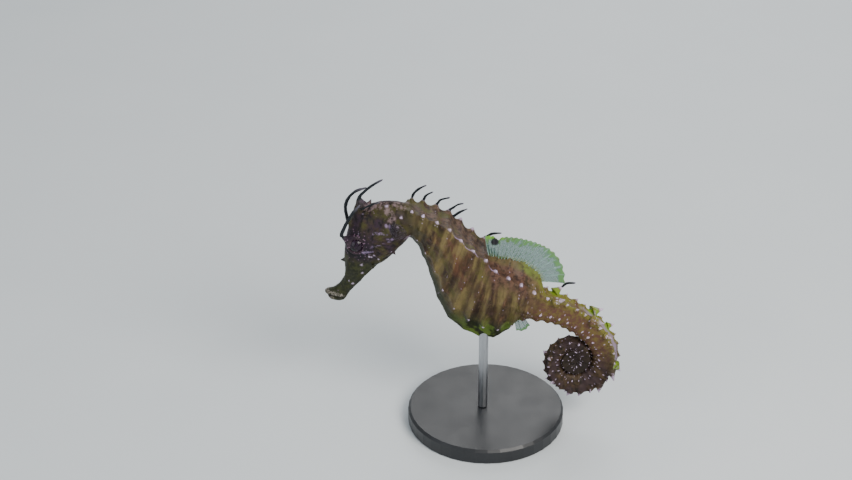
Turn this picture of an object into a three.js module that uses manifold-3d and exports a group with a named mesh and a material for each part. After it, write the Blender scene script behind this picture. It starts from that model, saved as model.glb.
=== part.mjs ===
// A female long-snouted seahorse (Hippocampus guttulatus) at life size, swimming with its tail coiled,
// held over a round base by one rod. Millimetres, +Z up. The head points to -X and its left side faces -Y.
// The origin is the centre of the base's underside. The animal is drawn round a point of its own in mid
// trunk, its plane of symmetry at y = 0, and is lifted into place at the end.
import * as THREE from "three";
import { mergeVertices } from "three/addons/utils/BufferGeometryUtils.js";
import Module from "manifold-3d";

const wasm = await Module();
wasm.setup();

// ---------------------------------------------------------------- driving dimensions
const CUT = 0.3; // gap between neighbouring solids
const BODY_LIFT = 36; // from the underside of the base to the animal's own z = 0

// Trunk, one [x, z] for each of its rings from the neck to the first ring of the tail.
const BACK_LINE = [[-15.5, 26.8], [-12.8, 25.9], [-9.5, 24.4], [-6.3, 22.5], [-3.5, 19.7], [-0.5, 16.8],
  [2.6, 14.2], [5.1, 11], [8.3, 8.8], [11.5, 6.4], [14.8, 3.7], [18.1, 1.9]];
const BELLY_LINE = [[-16.1, 18.2], [-14.6, 16.7], [-12.9, 13.2], [-10.9, 7.4], [-9.2, 1.2], [-6.4, -4.8],
  [-2.6, -8.4], [1.4, -10.4], [5.2, -10.8], [8.8, -8.4], [12, -5.1], [15.6, -5.1]];
const TRUNK_WIDTH = [4, 4.5, 5.1, 5.7, 6.1, 6.4, 6.5, 6.3, 5.9, 5.1, 3.9, 2.9]; // half widths
const FIN_BASE = [0, 0, 0, 0, 0, 0, 0.2, 2, 3.7, 5, 4.6, 0]; // height of the fleshy foot of the dorsal fin
const LAST_TRUNK_RING = BACK_LINE.length - 1;

// Head, drawn straight ahead of the neck: its upper and its under line with half widths between them.
const HEAD_TOP = [[-15.85, 27.1], [-19.2, 27.7], [-22.6, 27.4], [-25.6, 26.4], [-28.5, 24.5], [-30.5, 21.7],
  [-31.7, 18.1], [-32.2, 14.2], [-32.3, 10.9], [-32.2, 8.5], [-32.4, 6.4], [-33.6, 3.8], [-35.3, 2.1],
  [-37.8, 0.9]];
const HEAD_UNDER = [[-16.45, 18.4], [-18.2, 16.3], [-20, 13.9], [-22.1, 11.6], [-24.5, 9.7], [-26.2, 7.8],
  [-27.3, 6.4], [-28.1, 5.2], [-28.8, 4.3], [-29.7, 3.3], [-30.6, 2.3], [-31.6, 0.8], [-32.6, -0.9],
  [-34.3, -1.4]];
const HEAD_WIDTH = [3.9, 4.2, 4.5, 4.6, 4.3, 3.8, 3.5, 3.2, 2.8, 2.4, 2.1, 1.8, 2, 1.6];
const SNOUT_FROM = 9; // the point of the head lines at the foot of the snout
const HEAD_TURN = { degrees: 9, pivot: -17, ramp: 6 }; // turned to the animal's right behind x = pivot

// Tail: the middle line of its straight front, then a coil of shrinking radius, clockwise.
const TAIL_FRONT = [[16.9, -1.6], [21.3, -3], [24.6, -4.8], [28.2, -7.4], [31.3, -10.8]];
const COIL_CENTRE = [25.05, -16.5];
const COIL = { from: 10, step: 40 }; // degrees
const COIL_RADII = [8.41, 8.48, 8.41, 7.36, 5.42, 4.24, 3.72, 3.66, 3.48, 3.4, 3.76, 4, 3.12, 1.8, 1.14,
  0.92, 1.03, 1.16, 1.28, 1.52, 1.4]; // at each step
const TAIL_RINGS = 37;
const RING_TAPER = 0.5; // by how much of the first ring's length the last one is shorter
const TAIL_DEPTH = [3.7, 3.46, 3.29, 3.21, 3.11, 3, 2.87, 2.67, 2.39, 2.05, 1.81, 1.63, 1.39, 1.27, 1.1,
  0.73, 0.35]; // half depths from root to tip
const TAIL_WIDTH_SHARE = 0.78; // of the depth
const TAIL_ROLL = 22; // degrees the coiled part is rolled about its own middle line, back to the left side

const RING_DIP = 0.42; // how far the skin sinks between two rings
const LONG_SPINES = { 12: 2.8, 16: 3.3, 18: 1.9, 22: 2.6, 24: 1.9, 26: 1.1, 27: 1.5, 29: 1.2, 32: 1.1 };
const SHORT_SPINES = { root: 1, end: 0.5, last: 36 }; // of the rings between, up to the last with spines
const EYE = { at: [-28.7, 2.85, 16.9], radius: 1.95, opening: 1.7 };
const ORBIT = { y: 2.5, radius: 2.85 };
const BROW = { foot: [-30.4, 3, 17.4], tip: [-32.4, 4.3, 19.6], radius: 1.15 };
const NOSE_SPINE = { foot: [-31.6, 0, 10.3], tip: [-33.3, 0, 10.1], radius: 0.8 };
const CHEEK_SPINE = { foot: [-20.2, 2.4, 15.7], tip: [-19.2, 3.2, 14.8], radius: 0.7 };
const CORONET = { at: [-27.3, 25], height: 1.7, foot: 1.9, top: 2.3, root: 1.6, points: 5, lean: 0.1 };
const ROD = { radius: 1.2, x: 2.6, top: -7.2 };
const BASE = { radius: 20, thickness: 4, bevel: 0.6, x: 3.4 };
const FIN_THICKNESS = 0.5;
const FIN_GAP = 0.32;
const DORSAL_RAYS = [[5, 102], [5.7, 84], [6.3, 68], [6.3, 50], [6.5, 33], [5.7, -10]]; // length and slant
const DORSAL_FIN = { from: 6.35, to: 10.35, rays: DORSAL_RAYS };
const ANAL_FIN = { from: 9.5, to: 10.05, rays: [[2.2, -78], [3.5, -63], [3, -46]] };
const PECTORAL_FIN = { foot: [-19.9, 4.75, 22.4], height: 4.8, reach: 3.4, flare: 14 };

// Skin filaments. Those of the head are drawn from root to tip before the head is turned. The others grow
// from the right side's superior spines: the ring, how far up the spine, and the way from there to the tip.
const CIRRUS = { root: 0.33, tip: 0.26, sides: 4, steps: 6 }; // radii and divisions
const BROW_CIRRI = [
  [[-32.2, -4.1, 19.3], [-32, -4.3, 20.4], [-31.4, -4.2, 22], [-30.4, -4, 24.1], [-29.2, -3.7, 26.1],
    [-27.6, -3.4, 28.1]],
  [[-32.2, 4.1, 19.3], [-32.5, 4.3, 20.5], [-32.8, 4.3, 22.6], [-32.2, 4.4, 25], [-30.3, 4.6, 27.3],
    [-27.5, 4.9, 28.5]],
];
const CORONET_CIRRI = [
  [[-28.6, 0, 27.8], [-28.1, 0, 28.9], [-26.7, 0.1, 30.4], [-25.1, 0.3, 31.8], [-22.5, 0.7, 33.5]],
  [[-27.9, -2, 25.9], [-26.7, -2.7, 26.7], [-25.7, -2.5, 27.4], [-24.3, -2.2, 28], [-22.7, -1.8, 28.3]],
];
const SPINE_CIRRI = [
  { ring: 0, share: 0.75, bend: [[0.5, 0, 1.1], [1.8, 0, 2.3], [3.5, 0, 3.2]] },
  { ring: 1, share: 0.75, bend: [[0.7, 0, 1.1], [2.4, 0, 2.1]] },
  { ring: 2, share: 0.75, bend: [[0.9, 0, 1.1], [3.1, 0, 1.7]] },
  { ring: 3, share: 0.75, bend: [[0.7, 0, 0.5], [1.8, 0, 1.3], [3.3, 0, 1.7]] },
  { ring: 3.4, share: 0.1, bend: [[1.6, 0, 1.2], [3.4, -0.2, 2.2]] },
  { ring: 6, share: 0.75, bend: [[1.6, 0, 1], [4, 0, 1.2]] },
  { ring: 12, share: 0.85, bend: [[1, 0, 0.9], [3.2, 0, 1]] },
];

// ---------------------------------------------------------------- small helpers
const { degToRad, lerp, clamp, smoothstep } = THREE.MathUtils;
const inPlane = ([x, z]) => new THREE.Vector3(x, 0, z);
const mirrored = ([x, y, z], sign) => new THREE.Vector3(x, y * sign, z);

// A smooth curve through [x, z] pairs, as a function of the pair's number.
function lineThrough(pairs) {
  const curve = new THREE.CatmullRomCurve3(pairs.map(inPlane), false, "catmullrom", 0.5);
  return (i) => curve.getPoint(clamp(i / (pairs.length - 1), 0, 1));
}

// A smooth value through a list of numbers, as a function of the place in the list.
function valueThrough(list) {
  const line = lineThrough(list.map((value, i) => [i, value]));
  return (i) => line(i).z;
}

function solidOf(geometry) {
  const bare = geometry.clone();
  bare.deleteAttribute("normal");
  bare.deleteAttribute("uv");
  const merged = mergeVertices(bare, 1e-4);
  const vertProperties = new Float32Array(merged.attributes.position.array);
  const triVerts = new Uint32Array(merged.index.array);
  const solid = new wasm.Manifold(new wasm.Mesh({ numProp: 3, vertProperties, triVerts }));
  if (solid.volume() > 0) return solid;
  // The faces point in, so each is turned round.
  for (let i = 0; i < triVerts.length; i += 3) {
    [triVerts[i], triVerts[i + 1]] = [triVerts[i + 1], triVerts[i]];
  }
  return new wasm.Manifold(new wasm.Mesh({ numProp: 3, vertProperties, triVerts }));
}

function geometryOf(solid) {
  const { vertProperties, triVerts } = solid.getMesh();
  return new THREE.BufferGeometry()
    .setAttribute("position", new THREE.BufferAttribute(vertProperties, 3))
    .setIndex(new THREE.BufferAttribute(triVerts, 1));
}

const joined = (solids) => solids.reduce((whole, one) => whole.add(one));

// A closed solid through sections of equally many points, with flat ends.
function loft(sections) {
  const count = sections[0].length;
  const points = sections.flat();
  const index = [];
  for (let i = 0; i + 1 < sections.length; i++) {
    for (let k = 0; k < count; k++) {
      const a = i * count + k;
      const b = i * count + ((k + 1) % count);
      index.push(a, b, a + count, b, b + count, a + count);
    }
  }
  for (const end of [0, sections.length - 1]) {
    const ring = sections[end];
    const middle = points.length;
    points.push(ring.reduce((sum, p) => sum.add(p), new THREE.Vector3()).divideScalar(count));
    for (let k = 0; k < count; k++) {
      const a = end * count + k;
      const b = end * count + ((k + 1) % count);
      index.push(middle, ...(end ? [a, b] : [b, a]));
    }
  }
  return solidOf(new THREE.BufferGeometry().setFromPoints(points).setIndex(index));
}

// A pyramid from foot to tip.
function spike(foot, tip, radius, sides = 4) {
  const along = tip.clone().sub(foot);
  const cone = new THREE.ConeGeometry(radius, along.length(), sides).translate(0, along.length() / 2, 0);
  const lean = new THREE.Quaternion().setFromUnitVectors(new THREE.Vector3(0, 1, 0), along.normalize());
  cone.applyQuaternion(lean);
  return solidOf(cone.translate(foot.x, foot.y, foot.z));
}

const ball = (at, radius, sides) =>
  solidOf(new THREE.SphereGeometry(radius, sides, Math.round(sides * 0.7)).translate(at.x, at.y, at.z));

// ---------------------------------------------------------------- the body: trunk and tail
const backLine = lineThrough(BACK_LINE);
const bellyLine = lineThrough(BELLY_LINE);
const trunkWidth = valueThrough(TRUNK_WIDTH);
const finBase = valueThrough(FIN_BASE);
const tailDepth = valueThrough(TAIL_DEPTH);
const coilRadius = valueThrough(COIL_RADII);

const COIL_PARTS = 3; // points of the line for each step of the coil
const coilPoints = Array.from({ length: (COIL_RADII.length - 1) * COIL_PARTS + 1 }, (_, i) => {
  const angle = degToRad(COIL.from - (COIL.step * i) / COIL_PARTS);
  const radius = coilRadius(i / COIL_PARTS);
  return [COIL_CENTRE[0] + radius * Math.cos(angle), COIL_CENTRE[1] + radius * Math.sin(angle)];
});
const tailPoints = [...TAIL_FRONT, ...coilPoints].map(inPlane);
const tailLine = new THREE.CatmullRomCurve3(tailPoints, false, "centripetal");
tailLine.arcLengthDivisions = 800;

// The part of the tail's length that lies before a ring.
function tailShare(ring) {
  const t = clamp((ring - LAST_TRUNK_RING) / TAIL_RINGS, 0, 1);
  return t * (1 + RING_TAPER / 2) - (t * t * RING_TAPER) / 2;
}

// The plane of a section: its middle, the ways to the back and to the right side, half depth and half width.
function sectionPlane(ring) {
  if (ring <= LAST_TRUNK_RING) {
    const back = backLine(ring);
    const half = back.clone().sub(bellyLine(ring)).divideScalar(2);
    const middle = back.sub(half);
    const tail = smoothstep(ring, 8.5, LAST_TRUNK_RING);
    const depth = half.length();
    const side = new THREE.Vector3(0, 1, 0);
    return { middle, depth, up: half.normalize(), side, width: trunkWidth(ring), tail };
  }
  const share = tailShare(ring);
  const along = tailLine.getTangentAt(share);
  const depth = tailDepth(share * (TAIL_DEPTH.length - 1));
  const roll = degToRad(TAIL_ROLL) * smoothstep(share, 0.1, 0.35);
  const up = new THREE.Vector3(-along.z, 0, along.x).applyAxisAngle(along, roll);
  const side = new THREE.Vector3(0, 1, 0).applyAxisAngle(along, roll);
  return { middle: tailLine.getPointAt(share), depth, up, side, width: depth * TAIL_WIDTH_SHARE, tail: 1 };
}

// Half outline of a section from the mid back to the keel of the belly. For each point: its place as shares
// of the half width and the half depth, on the trunk and on the tail, and how much of a ridge runs there.
const OUTLINE = {
  back: { trunk: [0, 0.95], tail: [0, 0.88], ridge: 0 },
  shoulder: { trunk: [0.4, 0.96], tail: [0.43, 0.92], ridge: 0.2 },
  superior: { trunk: [0.84, 1], tail: [0.86, 0.98], ridge: 1 },
  flank: { trunk: [0.95, 0.66], tail: [1, 0.4], ridge: 0.35 },
  lateral: { trunk: [1, 0.3], tail: [1.04, -0.25], ridge: 0.9 },
  side: { trunk: [0.82, -0.1], tail: [0.94, -0.66], ridge: 0.35 },
  inferior: { trunk: [0.6, -0.48], tail: [0.68, -0.92], ridge: 0.9 },
  breast: { trunk: [0.3, -0.77], tail: [0.34, -0.98], ridge: 0.3 },
  keel: { trunk: [0, -1], tail: [0, -1], ridge: 1 },
};
const NODES = Object.keys(OUTLINE);
const FIN_BASE_SHARE = { back: 1, shoulder: 0.3 };

// A point of the body's surface. sign is -1 on the left side and 1 on the right, out lifts it off the skin.
function bodyPoint(ring, node, sign, out = 0) {
  const plane = sectionPlane(ring);
  const { trunk, tail, ridge } = OUTLINE[node];
  const y = lerp(trunk[0], tail[0], plane.tail) * plane.width;
  const z = lerp(trunk[1], tail[1], plane.tail) * plane.depth;
  const betweenRings = 0.5 - 0.5 * Math.cos(2 * Math.PI * ring);
  const dip = Math.min(RING_DIP, plane.depth * 0.12) * betweenRings * (0.5 + 0.5 * ridge);
  const scale = 1 + (out - dip) / Math.hypot(y, z);
  const hump = (FIN_BASE_SHARE[node] ?? 0) * (ring < LAST_TRUNK_RING ? finBase(ring) : 0);
  const point = plane.middle.clone().addScaledVector(plane.up, z * scale + hump);
  return point.addScaledVector(plane.side, y * scale * sign);
}

function bodySection(ring) {
  const right = NODES.map((node) => bodyPoint(ring, node, 1));
  const left = NODES.slice(1, -1).map((node) => bodyPoint(ring, node, -1));
  return [...right, ...left.reverse()];
}

const TRUNK_SPINES = { superior: 1.1, lateral: 0.55 };
function spineLength(ring, node) {
  if (ring < LAST_TRUNK_RING) return TRUNK_SPINES[node] ?? 0;
  const { root, end, last } = SHORT_SPINES;
  if (node !== "superior" || ring > last) return 0;
  return LONG_SPINES[ring] ?? lerp(root, end, (ring - LAST_TRUNK_RING) / (last - LAST_TRUNK_RING));
}

const SPINE_ROOT = 0.3; // how deep a spine is sunk
function spineAxis(ring, node, sign) {
  const { middle, up } = sectionPlane(ring);
  const backwards = sectionPlane(ring + 0.2).middle.sub(sectionPlane(ring - 0.2).middle).normalize();
  const length = spineLength(ring, node);
  const foot = bodyPoint(ring, node, sign, -SPINE_ROOT);
  const out = foot.clone().sub(middle).normalize();
  if (node === "superior") out.addScaledVector(up, ring < LAST_TRUNK_RING ? 0.9 : 0.1).normalize();
  out.addScaledVector(backwards, ring < LAST_TRUNK_RING ? 0.1 : 0.25 + 0.2 * length).normalize();
  return { foot, tip: foot.clone().addScaledVector(out, length + SPINE_ROOT) };
}

function spinesOn(ring) {
  const found = [];
  for (const node of NODES.filter((name) => spineLength(ring, name) > 0)) {
    const radius = Math.min(0.3 + spineLength(ring, node) * 0.28, sectionPlane(ring).depth * 0.3);
    for (const sign of [-1, 1]) {
      const { foot, tip } = spineAxis(ring, node, sign);
      found.push(spike(foot, tip, radius));
    }
  }
  return found;
}

function cirriBetween(first, last) {
  return SPINE_CIRRI.filter(({ ring }) => ring >= first && ring < last).map(({ ring, share, bend }) => {
    const { foot, tip } = spineAxis(ring, "superior", 1);
    const root = foot.lerp(tip, share);
    const steps = bend.map((step) => root.clone().add(new THREE.Vector3(...step)).toArray());
    return cirrus([root.toArray(), ...steps]);
  });
}

// Millimetres of the middle line per ring.
const pace = (ring) => sectionPlane(ring + 0.05).middle.distanceTo(sectionPlane(ring - 0.05).middle) / 0.1;

// One length of the body between two places counted in rings, parted from its neighbours by thin cuts.
const COARSE = { from: 37.5, to: 41 }; // rings between which the sections lie a whole ring apart
const stepAt = (ring) => (ring >= COARSE.from && ring < COARSE.to ? 1 : 0.5);
function bodyLength(from, to) {
  const first = from > 0 ? from + CUT / 2 / pace(from + 0.1) : from;
  const last = to < LAST_TRUNK_RING + TAIL_RINGS ? to - CUT / 2 / pace(to - 0.1) : to;
  const places = [first];
  for (let ring = from + stepAt(from); ring < to - 0.25; ring += stepAt(ring)) places.push(ring);
  places.push(last);
  const spines = [];
  for (let ring = Math.ceil(first); ring <= last; ring++) spines.push(...spinesOn(ring));
  return joined([loft(places.map(bodySection)), ...spines, ...cirriBetween(first, last)]);
}

// ---------------------------------------------------------------- the head
const headTop = lineThrough(HEAD_TOP);
const headUnder = lineThrough(HEAD_UNDER);
const headWidth = valueThrough(HEAD_WIDTH);
const HEAD_SIDES = 12;
const SNOUT_CUT = 0.07; // half the cut at the foot of the snout, in stations

// cos and sin of an angle, both pushed outwards to make a fuller oval.
const pushed = (value, power) => Math.sign(value) * Math.abs(value) ** power;

function headSection(station) {
  const top = headTop(station);
  const half = top.clone().sub(headUnder(station)).divideScalar(2);
  const middle = top.sub(half);
  return Array.from({ length: HEAD_SIDES }, (_, k) => {
    const angle = (k / HEAD_SIDES) * 2 * Math.PI;
    const y = headWidth(station) * pushed(Math.sin(angle), 0.8);
    return middle.clone().addScaledVector(half, pushed(Math.cos(angle), 0.9)).setY(y);
  });
}

function headLength(from, to) {
  const steps = Math.round((to - from) * 1.5);
  return loft(Array.from({ length: steps + 1 }, (_, i) => headSection(lerp(from, to, i / steps))));
}

const EYE_SIDES = 12;
function eyeSocket(sign) {
  const at = mirrored(EYE.at, sign);
  const opening = new THREE.CylinderGeometry(EYE.opening, EYE.opening, 4, EYE_SIDES);
  opening.translate(at.x, at.y + sign * 2.6, at.z);
  return ball(at, EYE.radius + CUT, EYE_SIDES).add(solidOf(opening));
}

function cranium() {
  const solids = [headLength(0, SNOUT_FROM - SNOUT_CUT)];
  solids.push(spike(mirrored(NOSE_SPINE.foot, 1), mirrored(NOSE_SPINE.tip, 1), NOSE_SPINE.radius));
  for (const sign of [-1, 1]) {
    solids.push(ball(mirrored([EYE.at[0], ORBIT.y, EYE.at[2]], sign), ORBIT.radius, EYE_SIDES));
    solids.push(spike(mirrored(BROW.foot, sign), mirrored(BROW.tip, sign), BROW.radius, 6));
    const { foot, tip, radius } = CHEEK_SPINE;
    solids.push(spike(mirrored(foot, sign), mirrored(tip, sign), radius));
  }
  solids.push(...BROW_CIRRI.map(cirrus));
  return joined(solids).subtract(eyeSocket(-1)).subtract(eyeSocket(1)).subtract(coronetStalk(CUT));
}

// The coronet: a short flaring stalk with blunt points round its rim, the one in front the tallest.
// Grown, it is the seat cut for the stalk and its points.
function coronetStalk(grow) {
  const { at, height, foot, top, root, points, lean } = CORONET;
  const grown = [[0.2, top + 0.7], [height + 2, top + 2]];
  const rim = grow ? grown : [[height * 0.6, foot * 1.05], [height, top]];
  const levels = [[-root - grow, foot * 0.9], [0, foot], ...rim];
  return loft(levels.map(([level, radius]) => Array.from({ length: points * 2 }, (_, k) => {
    const angle = (k / (points * 2)) * 2 * Math.PI;
    const reach = radius * (k % 2 ? 0.88 : 1.04) + grow;
    const x = at[0] - lean * level + reach * Math.cos(angle);
    return new THREE.Vector3(x, reach * Math.sin(angle), at[1] + level);
  })));
}

function coronet() {
  const { at, height, top, points } = CORONET;
  const solids = [coronetStalk(0), ...CORONET_CIRRI.map(cirrus)];
  for (let k = 0; k < points; k++) {
    const angle = (k / points) * 2 * Math.PI;
    const out = new THREE.Vector3(-Math.cos(angle), Math.sin(angle), 0);
    const tall = (0.5 + 0.5 * Math.cos(angle)) ** 3;
    const foot = new THREE.Vector3(at[0], 0, at[1] + height * 0.7).addScaledVector(out, top * 0.66);
    const lift = new THREE.Vector3(0.3 * tall, 0, 0.3 + 2.2 * tall);
    const tip = foot.clone().addScaledVector(out, 1.1 - tall).add(lift);
    solids.push(spike(foot, tip, 0.8, 5));
  }
  return joined(solids);
}

// ---------------------------------------------------------------- fins and filaments
function plateOf(outline) {
  const shape = new THREE.Shape(outline.map(([x, z]) => new THREE.Vector2(x, z)));
  const plate = new THREE.ExtrudeGeometry(shape, { depth: FIN_THICKNESS, bevelEnabled: false });
  return plate.translate(0, 0, -FIN_THICKNESS / 2).rotateX(Math.PI / 2);
}

// A fin in the plane of symmetry. Each ray is its length and its heading in degrees.
const FIN_STEPS = 14;
function medianFin({ from, to, rays }, node) {
  const feet = [];
  const rim = [];
  const reach = valueThrough(rays.map((ray) => ray[0]));
  const heading = valueThrough(rays.map((ray) => ray[1]));
  for (let i = 0; i <= FIN_STEPS; i++) {
    const foot = bodyPoint(lerp(from, to, i / FIN_STEPS), node, 1, FIN_GAP);
    const place = (i / FIN_STEPS) * (rays.length - 1);
    const angle = degToRad(heading(place));
    feet.push([foot.x, foot.z]);
    rim.push([foot.x + reach(place) * Math.cos(angle), foot.z + reach(place) * Math.sin(angle)]);
  }
  return solidOf(plateOf([...feet, ...rim.reverse()]));
}

function pectoralFin(sign) {
  const { foot, height, reach, flare } = PECTORAL_FIN;
  const outline = [[0, -height * 0.28], [0, height * 0.28]];
  for (let angle = 75; angle >= -75; angle -= 15) {
    outline.push([reach * Math.cos(degToRad(angle)), (height / 2) * Math.sin(degToRad(angle))]);
  }
  const plate = plateOf(outline).rotateZ(degToRad(flare) * sign);
  return solidOf(plate.translate(foot[0], foot[1] * sign, foot[2]));
}

function cirrus(points) {
  const curve = new THREE.CatmullRomCurve3(points.map((p) => new THREE.Vector3(...p)));
  return loft(Array.from({ length: CIRRUS.steps + 1 }, (_, i) => {
    const middle = curve.getPoint(i / CIRRUS.steps);
    const side = new THREE.Vector3(0, 1, 0);
    const up = side.clone().cross(curve.getTangent(i / CIRRUS.steps)).normalize();
    const radius = lerp(CIRRUS.root, CIRRUS.tip, i / CIRRUS.steps);
    return Array.from({ length: CIRRUS.sides }, (_unused, k) => {
      const angle = (k / CIRRUS.sides) * 2 * Math.PI;
      const across = side.clone().multiplyScalar(Math.cos(angle)).addScaledVector(up, Math.sin(angle));
      return middle.clone().addScaledVector(across, radius);
    });
  }));
}

// ---------------------------------------------------------------- the stand
function rodLike(radius, bottom, top) {
  const rod = new THREE.CylinderGeometry(radius, radius, top - bottom, 20);
  return solidOf(rod.rotateX(Math.PI / 2).translate(ROD.x, 0, (top + bottom) / 2));
}

function standBase() {
  const { radius, thickness, bevel } = BASE;
  const profile = [[0, 0], [radius - bevel / 2, 0], [radius, bevel / 2], [radius, thickness - bevel],
    [radius - bevel, thickness], [0, thickness]].map(([x, y]) => new THREE.Vector2(x, y));
  return solidOf(new THREE.LatheGeometry(profile, 40).rotateX(Math.PI / 2).translate(BASE.x, 0, -BODY_LIFT));
}

// ---------------------------------------------------------------- the scene graph
const finishes = {
  skin: new THREE.MeshStandardMaterial({ name: "skin", color: 0x6b5a35, roughness: 0.6 }),
  fin: new THREE.MeshStandardMaterial({ name: "fin", color: 0x9fb89a, roughness: 0.5 }),
  eye: new THREE.MeshStandardMaterial({ name: "eye", color: 0x2a2118, roughness: 0.1 }),
  rod: new THREE.MeshStandardMaterial({ name: "rod", color: 0x9a9a9c, roughness: 0.35, metalness: 1 }),
  base: new THREE.MeshStandardMaterial({ name: "base", color: 0x1d1d1f, roughness: 0.6 }),
};

const seahorse = new THREE.Group();
function place(name, solid, finish, bend = null) {
  const geometry = geometryOf(solid);
  if (bend) bend(geometry);
  const mesh = new THREE.Mesh(geometry, finishes[finish]);
  mesh.name = name;
  seahorse.add(mesh);
}

// Turns all that lies before the neck to the animal's right, little by little.
function turnHead(geometry) {
  const { degrees, pivot, ramp } = HEAD_TURN;
  const points = geometry.attributes.position;
  for (let i = 0; i < points.count; i++) {
    const p = new THREE.Vector3().fromBufferAttribute(points, i);
    const angle = -degToRad(degrees) * smoothstep(pivot - p.x, 0, ramp);
    const [dx, y] = [p.x - pivot, p.y];
    points.setX(i, pivot + dx * Math.cos(angle) - y * Math.sin(angle));
    points.setY(i, dx * Math.sin(angle) + y * Math.cos(angle));
  }
}

place("snout", headLength(SNOUT_FROM + SNOUT_CUT, HEAD_TOP.length - 1), "skin", turnHead);
place("head", cranium(), "skin", turnHead);
place("coronet", coronet(), "skin", turnHead);
for (const [side, sign] of [["left", -1], ["right", 1]]) {
  place(`eye_${side}`, ball(mirrored(EYE.at, sign), EYE.radius, EYE_SIDES), "eye", turnHead);
  place(`pectoral_fin_${side}`, pectoralFin(sign), "fin", turnHead);
}
const TRUNK_CUTS = { neck: [0, 2.5], trunk_front: [2.5, 6.5], trunk_rear: [6.5, 11.5] };
for (const [name, [from, to]] of Object.entries(TRUNK_CUTS)) {
  const rodHole = rodLike(ROD.radius + CUT, BELLY_LINE[7][1] - 3, ROD.top + CUT);
  place(name, bodyLength(from, to).subtract(rodHole), "skin");
}
const TAIL_CUTS = [11.5, 14.5, 17.5, 20.5, 24.5, 28.5, 32.5, 37.5, LAST_TRUNK_RING + TAIL_RINGS];
TAIL_CUTS.slice(1).forEach((to, i) => place(`tail_${i + 1}`, bodyLength(TAIL_CUTS[i], to), "skin"));
place("dorsal_fin", medianFin(DORSAL_FIN, "back"), "fin");
place("anal_fin", medianFin(ANAL_FIN, "keel"), "fin");
place("stand_rod", rodLike(ROD.radius, CUT + BASE.thickness - BODY_LIFT, ROD.top), "rod");
place("stand_base", standBase(), "base");

seahorse.position.set(-BASE.x, 0, BODY_LIFT);
export default seahorse;
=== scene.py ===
import math

import bpy
import numpy as np
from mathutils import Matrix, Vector, noise
from mathutils.kdtree import KDTree


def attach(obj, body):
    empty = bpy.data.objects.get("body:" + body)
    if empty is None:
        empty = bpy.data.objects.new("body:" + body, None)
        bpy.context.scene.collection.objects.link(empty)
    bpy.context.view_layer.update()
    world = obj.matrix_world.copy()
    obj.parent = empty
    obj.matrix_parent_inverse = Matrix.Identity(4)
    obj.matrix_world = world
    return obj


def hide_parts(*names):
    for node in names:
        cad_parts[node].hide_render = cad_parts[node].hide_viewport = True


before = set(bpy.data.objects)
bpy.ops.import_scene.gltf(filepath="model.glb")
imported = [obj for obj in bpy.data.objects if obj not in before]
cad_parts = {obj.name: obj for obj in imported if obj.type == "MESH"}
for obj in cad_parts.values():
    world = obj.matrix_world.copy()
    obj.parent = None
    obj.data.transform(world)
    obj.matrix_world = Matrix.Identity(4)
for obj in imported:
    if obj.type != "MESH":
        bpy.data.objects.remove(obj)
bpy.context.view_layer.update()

# Until a piece is finished its lengths are millimetres about the animal: head to -X, left side to -Y.
# The foot of the stand is at the frame's origin, so a finished piece is moved by this much.
animalPlace = np.array([-3.4, 0, 36])


def smoothstep(low, high, value):
    t = np.clip((np.asarray(value, float) - low) / (high - low), 0, 1)
    return t * t * (3 - 2 * t)


def bell(distance, radius):
    return np.exp(-((distance / radius) ** 2))


def unit(vectors):
    return vectors / np.linalg.norm(vectors, axis=-1, keepdims=True)


def hermite(a, b, leaveA, reachB, t):
    t2, t3 = t * t, t * t * t
    ends = (2 * t3 - 3 * t2 + 1) * a + (t3 - 2 * t2 + t) * leaveA + (3 * t2 - 2 * t3) * b
    return ends + (t3 - t2) * reachB


def smoothLine(points, place):  # read at places counted in points, and straight on past the ends
    points = np.asarray(points, float)
    points = points.reshape(len(points), -1)
    padded = np.vstack([2 * points[0] - points[1], points, 2 * points[-1] - points[-2]])
    place = np.atleast_1d(np.asarray(place, float))
    inside = np.clip(place, 0, len(points) - 1)
    i = np.minimum(inside.astype(int), len(points) - 2)
    before, a, b, after = (padded[i + k] for k in range(4))
    found = hermite(a, b, (b - before) / 2, (after - a) / 2, (inside - i)[:, None])
    slope = np.where((place < 0)[:, None], points[1] - points[0], points[-1] - points[-2])
    return found + slope * (place - inside)[:, None]


def meshPiece(name, points, faces=(), edges=()):
    mesh = bpy.data.meshes.new(name)
    mesh.from_pydata(np.asarray(points, float).tolist(), list(edges), list(faces))
    mesh.update()
    piece = bpy.data.objects.new(name, mesh)
    bpy.context.collection.objects.link(piece)
    return piece


def closedTube(name, rows):  # rows of points round a tube, with a middle point closing each end
    count, around = rows.shape[:2]
    points = np.vstack([rows.reshape(-1, 3), rows[0].mean(0), rows[-1].mean(0)])
    faces = []
    for i in range(count - 1):
        for k in range(around):
            a, b = i * around + k, i * around + (k + 1) % around
            faces.append((a, b, b + around, a + around))
    for k in range(around):
        after = (k + 1) % around
        faces.append((count * around, after, k))
        faces.append((count * around + 1, (count - 1) * around + k, (count - 1) * around + after))
    piece = meshPiece(name, points, faces)
    volume = sum(Vector(points[f[0]]).dot(Vector(points[f[1]]).cross(Vector(points[f[2]])))
                 for f in (p.vertices[:3] for p in piece.data.polygons))
    if volume < 0:
        piece.data.flip_normals()
    return piece


def openSheet(name, rows):  # a sheet through rows of points
    count, across = rows.shape[:2]
    faces = [(i * across + k, i * across + k + 1, (i + 1) * across + k + 1, (i + 1) * across + k)
             for i in range(count - 1) for k in range(across - 1)]
    return meshPiece(name, rows.reshape(-1, 3), faces)


def roundAngles(count):
    return np.arange(count) / count * 2 * np.pi


def pathPiece(name, paths, thickness):  # open paths of points, and how thick each point of them is
    points, edges = [], []
    for path in paths:
        edges += [(len(points) + k, len(points) + k + 1) for k in range(len(path) - 1)]
        points += list(path)
    piece = meshPiece(name, points, edges=edges)
    setAttributes(piece, thickness=np.concatenate(thickness))
    return piece


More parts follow.
